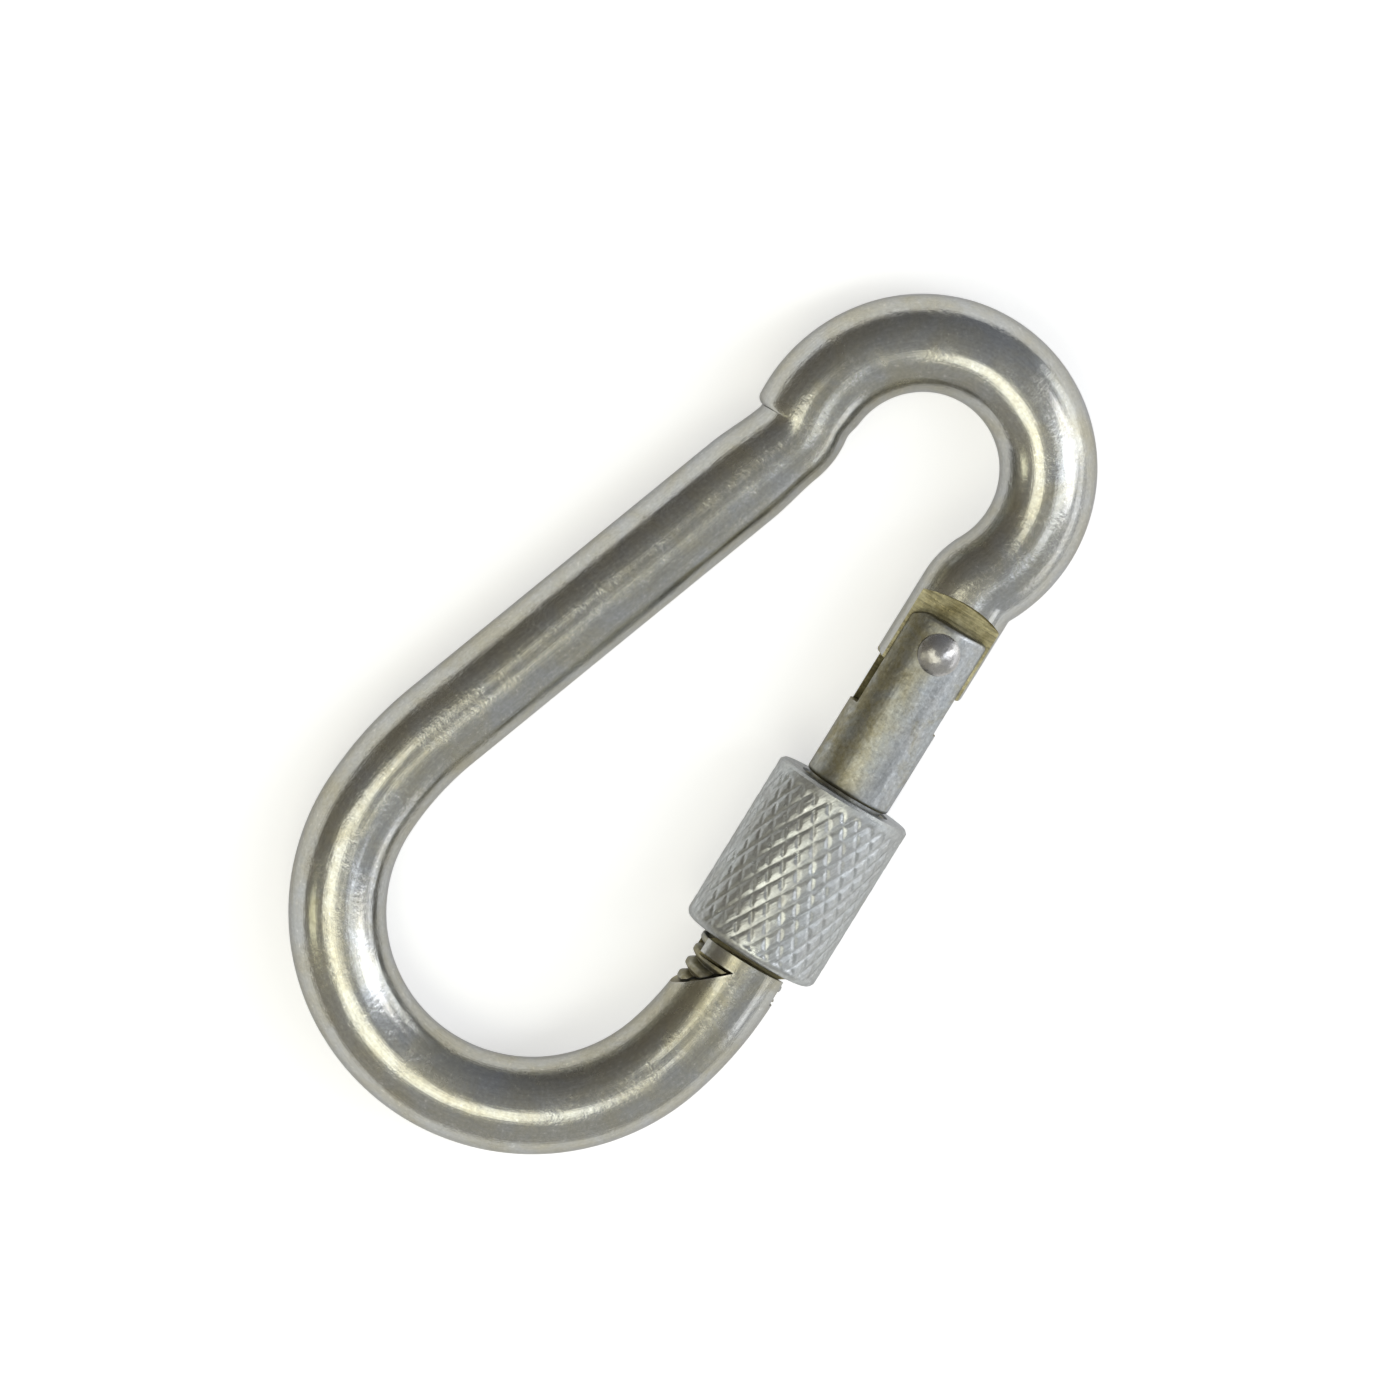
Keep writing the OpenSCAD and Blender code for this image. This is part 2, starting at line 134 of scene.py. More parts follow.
class GateSizes(bpy.types.PropertyGroup):
    rod_d: length("Rod", "Diameter of the gate's plain rod", 9.2)
    ear_up: length("Ear", "Distance from the hinge axis to the top of the ears", 3)
    ear_inner_r: length("Inner ear corner", "Radius of the ears' corner on the inner side", 2.6)
    ear_outer_r: length("Outer ear corner", "Radius of the ears' corner on the outer side", 1.2)
    slot_inner: length("Slot, inner side", "Depth of the fork slot on the inner side", 8.4)
    slot_outer: length("Slot, outer side", "Depth of the fork slot on the outer side", 7.3)
    rod_round: length("Rod end", "Rounding at the end of the plain rod", 0.45)
    ear_round: length("Ear edge", "Rounding of the edge round the ears' top", 0.5)
    relief_w: length("Relief", "Length of the relief before the thread", 0.4)
    thread_d: length("Thread", "Outside diameter of the thread", 9.6)
    root_d: length("Thread root", "Root diameter of the thread", 8.1)
    pitch: length("Pitch", "Pitch of the thread", 1.5)
    crest: length("Crest", "Width of the thread's crest before it is rounded", 0.5)
    crest_round: length("Crest rounding", "Rounding of the thread's crest", 0.22)
    blade_t: length("Blade", "Thickness of the blade between the prongs", 4)
    head_len: length("T-head", "Length of the T-head below the load face", 3.45)


class NoseSizes(bpy.types.PropertyGroup):
    up: length("Nose", "Height of the prongs' tips up the leg", 6.75)
    prong_len: length("Prong", "Distance from the prongs' tips to the load face", 1.5)
    notch_in: length("Notch", "Distance of the notch's inner edge from the gate's axis", 0.75)
    notch_angle: angle("Notch angle", "Angle between the notch's two faces", 45)
    prong_round: length("Prong corner", "Rounding of the prongs' load corner", 0.7)
    slot_deep: length("Nose slot", "Depth of the nose's slot below the load face", 1.2)


class NutSizes(bpy.types.PropertyGroup):
    d: length("Nut", "Outside diameter of the nut", 14.6)
    len: length("Nut length", "Length of the nut", 18.4)
    gap: length("Nut gap", "Distance from the plain rod to the backed-off nut", 0.25)
    chamfer: length("Chamfer", "Chamfer on the end next to the hinge", 0.3)
    round: length("Rim", "Rounding of the end next to the nose", 0.9)
    bore_deep: length("Counterbore", "Depth of the counterbore that passes over the nose", 6)
    grooves: IntProperty(name="Grooves", description="Knurl grooves of each hand", default=27, min=3)
    groove_lean: angle("Groove lean", "Angle of a knurl groove to the nut's axis", 30)
    groove_deep: length("Groove", "Depth of the knurl's leading grooves", 0.12)
    cross_deep: length("Cross groove", "Depth of the knurl's crossing grooves", 0.1)
    plain_rim: length("Plain rim", "Width of the band next to the hinge end that stays plain", 0.75)


class PlungerSizes(bpy.types.PropertyGroup):
    d: length("Plunger", "Diameter of the plunger's head", 3.9)
    tip_r: length("Tip", "Radius of the plunger's domed tip", 2.5)
    head: length("Head", "Length of the plunger's head", 8.2)
    stem_d: length("Stem", "Diameter of the plunger's stem", 2)
    stem: length("Stem length", "Length of the plunger's stem", 3.5)
    spring_floor: length("Spring floor", "Distance from the hinge axis to the floor of the bore", 24)
    wire_d: length("Wire", "Wire diameter of the closing spring", 0.55)
    turns: IntProperty(name="Turns", description="Turns of the closing spring", default=8, min=1)
    travel: length("Plunger travel", "How far the plunger can be pushed in", 1)


class Clearances(bpy.types.PropertyGroup):
    slot: length("Slot play", "Play on each side of the tongue and of the blade", 0.1)
    rivet: length("Rivet play", "Radial play of the rivet", 0.05)
    nut: length("Nut play", "Radial play of the nut on the thread", 0.1)
    nose: length("Nose play", "Radial play of the counterbore over the nose", 0.3)
    head: length("T-head play", "Play between the T-head and the notch", 0.2)
    head_lift: length("T-head lift", "Lift of the T-head from the load face", 0.35)
    blade: length("Blade play", "Gap between the prongs' floor and the blade's end", 0.4)
    tip: length("Tip play", "Gap between the full thread and the prongs' tips", 1)
    plunger_tip: length("Plunger tip play", "Gap between the plunger and the tongue", 0.1)
    plunger: length("Plunger play", "Radial play of the plunger", 0.15)
    spring: length("Spring gap", "Gap at each end of the closing spring", 0.05)
    swing: length("Swing play", "Clearance of the nut's rim as it swings past the prongs", 0.1)


class Finishes(bpy.types.PropertyGroup):
    zinc: tint("Zinc", "Bright zinc plating", "#b0b1b0")
    zinc_warm: tint("Warm zinc", "Zinc plating where the passivation has gone yellow", "#aeab9e")
    # The stain's colour is also painted over the rod's inner side and the bar's nose end as shade and
    # reflection.
    stain: tint("Stain", "Olive stain of old oil and passivation", "#938b69")
    handled: tint("Handled zinc", "Zinc of the gate's rod, dulled by handling", "#a9adb0")
    milled: tint("Milled", "Plating over milled faces, dull and olive", "#7b7354")
    milled_pale: tint("Milled, pale", "Raised grain of the milled faces", "#b6af8d")
    nut: tint("Nut", "Zinc plating of the nut, a little brighter than the bar", "#b9bcbc")
    rivet: tint("Rivet", "Bare end of the peened rivet", "#b0aeac")
    inner: tint("Inner steel", "Oiled steel of the plunger and the spring", "#6d6b68")


class StageSizes(bpy.types.PropertyGroup):
    camera_far: FloatProperty(name="Camera distance", description="From the camera to its target",
                              default=1.0, min=0.1, unit="LENGTH")
    view_width: length("View width", "Width of the picture in the plane of the loop", 138.3)
    floor_glow: FloatProperty(name="Floor glow", default=0.48, min=0,
                              description="Brightness that the floor adds where it is seen")
    floor_size: FloatProperty(name="Floor", description="Width of the floor", default=1.6, unit="LENGTH")
    floor_lean: angle("Floor lean", "How far the floor leans, because the nut is thicker than the bar", 4)


# Where the camera looks, in millimetres, and its right, up and back as the columns of a turn.
TARGET = (-1.47, 26.51, 0)
CAMERA_AXES = Matrix(((0.7489, -0.6460, -0.1478), (0.6582, 0.7510, 0.0529), (0.0768, -0.1369, 0.9876)))
# A point of the floor under the loop, in millimetres, about which it leans.
FLOOR_AT = (17.1, 19.9, -7.3)
# From the target to each softbox, in metres.
LAMP_FAR = 0.8
# Each softbox: name, bearing from the camera, width, height, roll, colour, brightness.
LAMPS = (
    ("key_near", (0.56, -0.23, 0.79), 0.36, 0.22, 20, (0.88, 0.93, 1.0), 1.9),
    ("key_middle", (0.83, -0.06, 0.54), 0.42, 0.36, 35, (0.95, 0.96, 1.0), 2.8),
    ("key_far", (0.94, 0.26, 0.13), 0.40, 0.36, 50, (0.98, 1.0, 1.0), 1.6),
    ("key_low", (0.93, -0.35, 0.10), 0.80, 0.22, 70, (0.97, 0.98, 1.0), 1.2),
    ("warm_card", (-0.36, -0.14, 0.92), 0.36, 0.36, 0, (1.0, 0.99, 0.83), 2.0),
    ("low_card", (-0.12, -0.50, 0.86), 0.50, 0.30, 0, (1.0, 0.99, 0.83), 2.1),
    ("left_spot", (-0.84, -0.24, 0.49), 0.20, 0.16, 0, (1.0, 1.0, 0.72), 1.7),
)

GROUPS = {
    "carabiner_loop": LoopSizes,
    "carabiner_hinge": HingeSizes,
    "carabiner_gate": GateSizes,
    "carabiner_nose": NoseSizes,
    "carabiner_nut": NutSizes,
    "carabiner_plunger": PlungerSizes,
    "carabiner_play": Clearances,
    "carabiner_finish": Finishes,
    "carabiner_stage": StageSizes,
}


def in_mm(group):
    """A property group's lengths in millimetres; its angles and counts as they are."""
    values = {}
    for prop in group.bl_rna.properties:
        if prop.identifier in ("rna_type", "name"):
            continue
        value = getattr(group, prop.identifier)
        values[prop.identifier] = value / MM if prop.unit == "LENGTH" else value
    return SimpleNamespace(**values)


def turned(x, y, a):
    """A point turned about the origin by an angle."""
    return x * math.cos(a) - y * math.sin(a), x * math.sin(a) + y * math.cos(a)


def layout():
    """Every size in millimetres, with the places that follow from them, as in the solids' source."""
    scene = bpy.context.scene
    s = SimpleNamespace(loop=in_mm(scene.carabiner_loop), hinge=in_mm(scene.carabiner_hinge),
                        gate=in_mm(scene.carabiner_gate), nose=in_mm(scene.carabiner_nose),
                        nut=in_mm(scene.carabiner_nut), plunger=in_mm(scene.carabiner_plunger),
                        play=in_mm(scene.carabiner_play))
    loop, nut, play = s.loop, s.nut, s.play
    s.bar_r = loop.bar_d / 2
    s.rod_r = s.gate.rod_d / 2
    s.leg_off = loop.large_bow_r + loop.leg_swell
    s.lean = math.asin((s.leg_off - loop.small_bow_r + loop.neck_in) / loop.bow_spacing)
    s.joggle_r = s.bar_r + loop.hollow_r
    flank = loop.flank_r - loop.large_bow_r
    s.flank_turn = math.acos(1 - loop.leg_swell / flank)
    s.flank_c = (-flank * math.cos(s.flank_turn), flank * math.sin(s.flank_turn))
    bow_off = loop.small_bow_r - loop.neck_in
    s.joggle_turn = math.acos((bow_off + s.joggle_r) / (loop.small_bow_r + s.joggle_r))
    s.joggle_up = (loop.bow_spacing * math.cos(s.lean)
                   - (loop.small_bow_r + s.joggle_r) * math.sin(s.joggle_turn))
    s.hinge_up = s.joggle_up - s.hinge.drop
    s.prong_tip = s.hinge_up - s.nose.up
    s.load_face = s.prong_tip + s.nose.prong_len
    s.slot_floor = s.load_face + s.nose.slot_deep
    corner = s.prong_tip - play.swing - nut.round
    s.nut_end = nut.round + math.sqrt(corner ** 2 - (nut.d / 2 - nut.round) ** 2)
    s.nut_top = s.nut_end - nut.len
    s.rod_end = s.nut_top - nut.gap
    s.full_thread_end = s.prong_tip - play.tip
    s.head_top = s.load_face + play.head_lift
    s.head_end = s.load_face + s.gate.head_len
    s.bore_r = s.plunger.d / 2 + play.plunger
    s.plunger_top = s.hinge.tongue_reach + play.plunger_tip
    down, out = turned(0, -1, s.lean), turned(1, 0, s.lean)
    pivot = turned(s.leg_off, s.hinge_up, s.lean)
    # The gate's frame: first axis down the gate to the nose, second outward, third square to the loop.
    s.on_gate = Matrix(((down[0], out[0], 0, pivot[0]), (down[1], out[1], 0, pivot[1]),
                        (0, 0, 1, 0), (0, 0, 0, 1)))
    return s


# Shapes are made in millimetres and brought to metres when they are finished.

def arc(cx, cy, r, start, end, steps):
    """Points on a circle, angles in degrees."""
    turns = np.radians(np.linspace(start, end, steps + 1))
    return [(cx + r * math.cos(t), cy + r * math.sin(t)) for t in turns]


def shape(name, points, faces, face_slot=0):
    """A mesh object whose faces are all turned, slot 0, or all milled, slot 1."""
    mesh = bpy.data.meshes.new(name)
    mesh.from_pydata([tuple(p) for p in points], [], faces)
    # Two empty slots keep turned and milled faces apart through every cut.
    mesh.materials.append(None)
    mesh.materials.append(None)
    mesh.polygons.foreach_set("material_index", [face_slot] * len(mesh.polygons))
    made = bpy.data.objects.new(name, mesh)
    bpy.context.scene.collection.objects.link(made)
    return made


def rings_to_faces(count, sides):
    """Faces of a closed skin over rings of equal length, with a cap at each end."""
    faces = [tuple(range(sides))]
    for i in range(count - 1):
        for k in range(sides):
            n = (k + 1) % sides
            faces.append((i * sides + k, (i + 1) * sides + k, (i + 1) * sides + n, i * sides + n))
    faces.append(tuple((count - 1) * sides + k for k in reversed(range(sides))))
    return faces


def welded(made):
    """Merges the points that a cut leaves almost on each other, which would tear in the next cut."""
    work = bmesh.new()
    work.from_mesh(made.data)
    bmesh.ops.remove_doubles(work, verts=work.verts, dist=WELD)
    bmesh.ops.dissolve_degenerate(work, edges=work.edges, dist=WELD / 2)
    work.to_mesh(made.data)
    work.free()
    return made


def outward(made):
    """Merges doubles and points every face outwards."""
    work = bmesh.new()
    work.from_mesh(made.data)
    bmesh.ops.remove_doubles(work, verts=work.verts, dist=DOUBLES)
    bmesh.ops.recalc_face_normals(work, faces=work.faces)
    work.to_mesh(made.data)
    work.free()
    return made


def prism(outline, low, high, face_slot=1, shift=0.0):
    """An outline in the plane of the loop, made solid between two heights. The second end may be shifted
    in x."""
    n = len(outline)
    points = [(x, y, low) for x, y in outline] + [(x + shift, y, high) for x, y in outline]
    faces = [tuple(range(n)), tuple(range(2 * n - 1, n - 1, -1))]
    faces += [(k, (k + 1) % n, n + (k + 1) % n, n + k) for k in range(n)]
    return outward(shape("tool", points, faces, face_slot))


def lathe(name, profile, sides, face_slot=0):
    """Revolves a profile of (place along the gate, radius) about the gate's axis."""
    around = np.arange(sides) * 2 * math.pi / sides
    points = [(x, r * math.cos(t), r * math.sin(t)) for x, r in profile for t in around]
    return outward(shape(name, points, rings_to_faces(len(profile), sides), face_slot))


def baked(made):
    """Replaces an object's mesh by the one that its modifiers give."""
    graph = bpy.context.evaluated_depsgraph_get()
    mesh = bpy.data.meshes.new_from_object(made.evaluated_get(graph))
    old, made.data = made.data, mesh
    made.modifiers.clear()
    bpy.data.meshes.remove(old)
    return made


def combine(made, tool, operation, crosses_itself=False):
    """Cuts, joins or intersects with a tool, which is used up."""
    modifier = made.modifiers.new(operation, "BOOLEAN")
    modifier.operation = operation
    modifier.solver = "EXACT"
    modifier.use_self = crosses_itself
    modifier.object = tool
    baked(made)
    if not made.data.polygons:
        raise RuntimeError(f"{made.name} vanished in {operation}")
    bpy.data.objects.remove(tool)
    return welded(made)


def placed(made, matrix):
    """Moves a mesh within its object, which stays at the origin."""
    made.data.transform(matrix)
    return made


def grown(name, tree, inputs, base=None):
    """Runs a node tree over an object of its own and keeps the plain mesh."""
    made = base or shape(name, [], [])
    modifier = made.modifiers.new(name, "NODES")
    modifier.node_group = tree
    for item in tree.interface.items_tree:
        if item.in_out == "INPUT" and item.name in inputs:
            modifier[item.identifier] = inputs[item.name]
    baked(made)
    if not made.data.polygons:
        raise RuntimeError(f"{name} came out empty")
    return made


def begun(name, inputs):
    """Starts a geometry tree with its inputs, given as name and kind; gives the tree and their sockets."""
    tree = bpy.data.node_groups.new(name, "GeometryNodeTree")
    for label, kind in (*inputs, ("Material", "NodeSocketMaterial")):
        tree.interface.new_socket(label, in_out="INPUT", socket_type=kind)
    tree.interface.new_socket("Geometry", in_out="OUTPUT", socket_type="NodeSocketGeometry")
    return tree, add(tree, "NodeGroupInput").outputs


def closed(tree, geometry, material):
    """Ends a geometry tree: its instances are made real and take their material."""
    real = add(tree, "GeometryNodeRealizeInstances", {}, {"Geometry": geometry})
    coat = add(tree, "GeometryNodeSetMaterial", {}, {"Geometry": real.outputs[0], "Material": material})
    add(tree, "NodeGroupOutput", {}, {"Geometry": coat.outputs[0]})
    return tree


def finished(made, name, node, body, materials):
    """Brings a piece from millimetres to its place, smooths it and sets it over its solid."""
    made.data.transform(Matrix.Scale(MM, 4))
    made.name = made.data.name = name
    slots = made.data.materials
    while len(slots) > len(materials):
        slots.pop()
    while len(slots) < len(materials):
        slots.append(None)
    for i, material in enumerate(materials):
        slots[i] = finish_of(material)
    made.data.shade_smooth()
    made.data.set_sharp_from_angle(angle=CRISP)
    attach(made, body)
    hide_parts(node)
    return made


def add(tree, kind, settings=None, links=None):
    """Adds a node, with its settings and its inputs' values or links."""
    made = tree.nodes.new(kind)
    for key, value in (settings or {}).items():
        setattr(made, key, value)
    for key, value in (links or {}).items():
        if isinstance(value, bpy.types.NodeSocket):
            tree.links.new(value, made.inputs[key])
        else:
            made.inputs[key].default_value = value
    return made


def plated_steel(name, colour, second, stain_share, roughness, cloud_mm, wave, hair, frost,
                 map_name=None, turn=0.0):
    """Electroplated zinc over steel: a metallic shine, cloudy where the clear passivation varies, stained
    in places, darker and olive with stain and painted shade where a piece marks it, and frosted in patches
    where the zinc's crystals show.

    Wave, the bar's slow unevenness, and hair, its fine marks, are each a length along the lay, a width
    across it and a depth, and frost is a size and a depth, all in mm. Hair and frost end in how much darker
    their marks are. The lay follows the named map, or else the object's own coordinates, with a turn from
    there to the marks' direction.
    """
    material = bpy.data.materials.new(name)
    material.use_nodes = True
    tree = material.node_tree
    tree.nodes.clear()
    place = add(tree, "ShaderNodeTexCoord").outputs["Object"]
    source = add(tree, "ShaderNodeUVMap", {"uv_map": map_name}).outputs[0] if map_name else place
    along_wave, across_wave, wave_deep = wave
    along_hair, across_hair, hair_deep, hair_dark = hair
    frost_mm, frost_deep, frost_dark = frost

    def laid(along, across):
        """Coordinates in which a pattern of size 1 is as long and as wide as given, in mm, on the lay."""
        size = (along * MM, across * MM, across * MM)
        return add(tree, "ShaderNodeMapping", {"vector_type": "TEXTURE"}, {
            "Vector": source, "Rotation": (0, 0, turn), "Scale": size}).outputs[0]

    # Each pattern: its coordinates, scale, detail, roughness and distortion. Object coordinates are in
    # metres, so a scale of 1000 over a size in mm repeats at that size. Real crystals of zinc and draw
    # marks are finer than these, and are drawn as coarse as they need to be to show.
    clouds, stains, crystals, speckle, waves, hairs, grit = (
        add(tree, "ShaderNodeTexNoise", {}, {
            "Vector": vector, "Scale": scale, "Detail": detail, "Roughness": rough,
            "Distortion": distortion}).outputs["Fac"]
        for vector, scale, detail, rough, distortion in (
            (place, 1000 / cloud_mm, 6.0, 0.62, 0.4),
            (place, 1000 / (1.7 * cloud_mm), 7.0, 0.7, 0.8),
            (place, 1000 / (0.6 * cloud_mm), 4.0, 0.6, 0.0),
            (place, 1000 / 0.4, 3.0, 0.7, 0.0),
            (laid(along_wave, across_wave), 1.0, 2.0, 0.6, 0.0),
            (laid(along_hair, across_hair), 1.0, 4.0, 0.6, 0.0),
            (place, 1000 / frost_mm, 2.0, 0.5, 0.0)))
    # Each pattern's part in the look: its range, and what its low and its high end give.
    second_share, stained_share, stain_and_shade_share, patches, cloudy, dark_fleck, bright_fleck, hair_mark = (
        add(tree, MAP_RANGE, {}, {"Value": pattern, "From Min": low, "From Max": high, "To Min": at_low,
                                  "To Max": at_high}).outputs[0]
        for pattern, low, high, at_low, at_high in (
            (clouds, 0.36, 0.64, 0.0, 1.0),
            (stains, 0.52, 0.72, 0.0, stain_share),
            (clouds, 0.3, 0.6, 0.08, 0.4),
            (crystals, 0.44, 0.60, 0.0, 1.0),
            (clouds, 0.3, 0.7, roughness - 0.03, roughness + 0.06),
            (speckle, 0.3, 0.7, 1 - frost_dark, 1 + 0.7 * frost_dark),
            (speckle, 0.64, 0.74, 0.0, 0.35),
            (hairs, 0.36, 0.62, 1 - hair_dark, 1 + hair_dark / 2)))

    base = add(tree, "ShaderNodeMix", {"data_type": "RGBA"}, {
        "Factor": second_share, 6: (*colour, 1), 7: (*second, 1)})
    # Bar and gate carry a mark that darkens them towards the stain's colour: oil on the thread, and painted
    # shade and reflection on the rod's inner side and on the bar's nose end next to the nut.
    stain_and_shade = add(tree, "ShaderNodeAttribute", {"attribute_name": "stain_and_shade"}).outputs["Fac"]
    # How far a point's stain and painted shade show, varied by the clouds.
    handled = add(tree, MATH, {"operation": "MULTIPLY"}, {0: stain_and_shade, 1: stain_and_shade_share}).outputs[0]
    most_stain_and_shade = add(tree, MATH, {"operation": "MAXIMUM"}, {0: stained_share, 1: handled}).outputs[0]
    stain = bpy.context.scene.carabiner_finish.stain
    stained = add(tree, "ShaderNodeMix", {"data_type": "RGBA"}, {
        "Factor": most_stain_and_shade, 6: base.outputs[2], 7: (*stain, 1)})
    fleck = add(tree, MATH, {}, {0: dark_fleck, 1: bright_fleck}).outputs[0]
    marked = add(tree, MATH, {"operation": "MULTIPLY"}, {0: fleck, 1: hair_mark}).outputs[0]
    flecked = add(tree, VECTOR_MATH, {"operation": "SCALE"}, {0: stained.outputs[2], "Scale": marked})
    # How much rougher a frosted patch and a full stain are than the plating round them.
    frost_rough, stain_rough = 0.06, 0.12
    frosted = add(tree, MATH, {"operation": "MULTIPLY_ADD"}, {
        0: patches, 1: frost_rough, 2: cloudy}).outputs[0]
    rough = add(tree, MATH, {"operation": "MULTIPLY_ADD"}, {
        0: most_stain_and_shade, 1: stain_rough, 2: frosted}).outputs[0]

    bump = None
    for height, depth, strength in (
            (waves, wave_deep, 1.0), (hairs, hair_deep, 1.0), (grit, frost_deep, patches)):
        links = {"Strength": strength, "Distance": depth * MM, "Height": height}
        if bump:
            links["Normal"] = bump
        bump = add(tree, "ShaderNodeBump", {}, links).outputs[0]
    shader = add(tree, "ShaderNodeBsdfPrincipled", {}, {
        "Base Color": flecked.outputs[0], "Metallic": 1.0, "Roughness": rough, "Normal": bump,
        # Dulled plating mirrors less at a glancing angle than clean metal does.
        "Specular Tint": (0.55, 0.55, 0.56, 1)})
    add(tree, "ShaderNodeOutputMaterial", {}, {"Surface": shader.outputs[0]})
    return material


def finish_of(name):
    """A piece's material by its name, made on first use."""
    ready = bpy.data.materials.get(name)
    if ready:
        return ready
    f = bpy.context.scene.carabiner_finish
    down_gate = layout().lean - math.pi / 2
    if name == "Zinc-plated drawn bar":
        # Drawn round bar, barrel plated: bright, cloudy, with draw marks that follow the bar.
        return plated_steel(name, f.zinc, f.zinc_warm, stain_share=0.3, roughness=0.18, cloud_mm=5.0,
                            wave=(9.0, 2.0, 0.038), hair=(6.0, 0.22, 0.01, 0.06),
                            frost=(0.42, 0.03, 0.12), map_name="bar")
    if name == "Zinc over milled steel":
        # Milled faces take a dull, olive deposit that shows the cutter's grain.
        return plated_steel(name, f.milled, f.milled_pale, stain_share=0.3, roughness=0.3, cloud_mm=3.0,
                            wave=(1.0, 1.0, 0.02), hair=(0.22, 4.0, 0.06, 0.24),
                            frost=(0.35, 0.05, 0.24), turn=down_gate)
    if name == "Zinc-plated turned rod":
        # The rod is handled most: stained in spots and dulled to a satin.
        return plated_steel(name, f.handled, f.zinc, stain_share=0.7, roughness=0.31, cloud_mm=2.4,
                            wave=(6.0, 1.8, 0.05), hair=(5.0, 0.25, 0.01, 0.08),
                            frost=(0.42, 0.05, 0.26), turn=down_gate)
    if name == "Zinc-plated knurled nut":
        # Rolled knurl, bright zinc: fine marks run with the leading grooves.
        return plated_steel(name, f.nut, f.zinc, stain_share=0.2, roughness=0.28, cloud_mm=2.5,
                            wave=(1.3, 1.3, 0.03), hair=(1.4, 0.18, 0.045, 0.1),
                            frost=(0.35, 0.02, 0.16), map_name="lay")
    if name == "Peened rivet steel":
        # Hammered bright after plating: a smooth dome with shallow dints.
        return plated_steel(name, f.rivet, f.rivet, stain_share=0.3, roughness=0.24, cloud_mm=2.0,
                            wave=(1.3, 1.3, 0.08), hair=(0.3, 0.3, 0.006, 0.0), frost=(0.4, 0.02, 0.1))
    if name == "Oiled inner steel":
        # Turned and drawn steel under oil, never plated: dark, even and half dull.
        return plated_steel(name, f.inner, f.inner, stain_share=0.0, roughness=0.35, cloud_mm=2.0,
                            wave=(1.0, 1.0, 0.01), hair=(0.3, 0.3, 0.003, 0.0), frost=(0.4, 0.01, 0.1))
    raise KeyError(name)


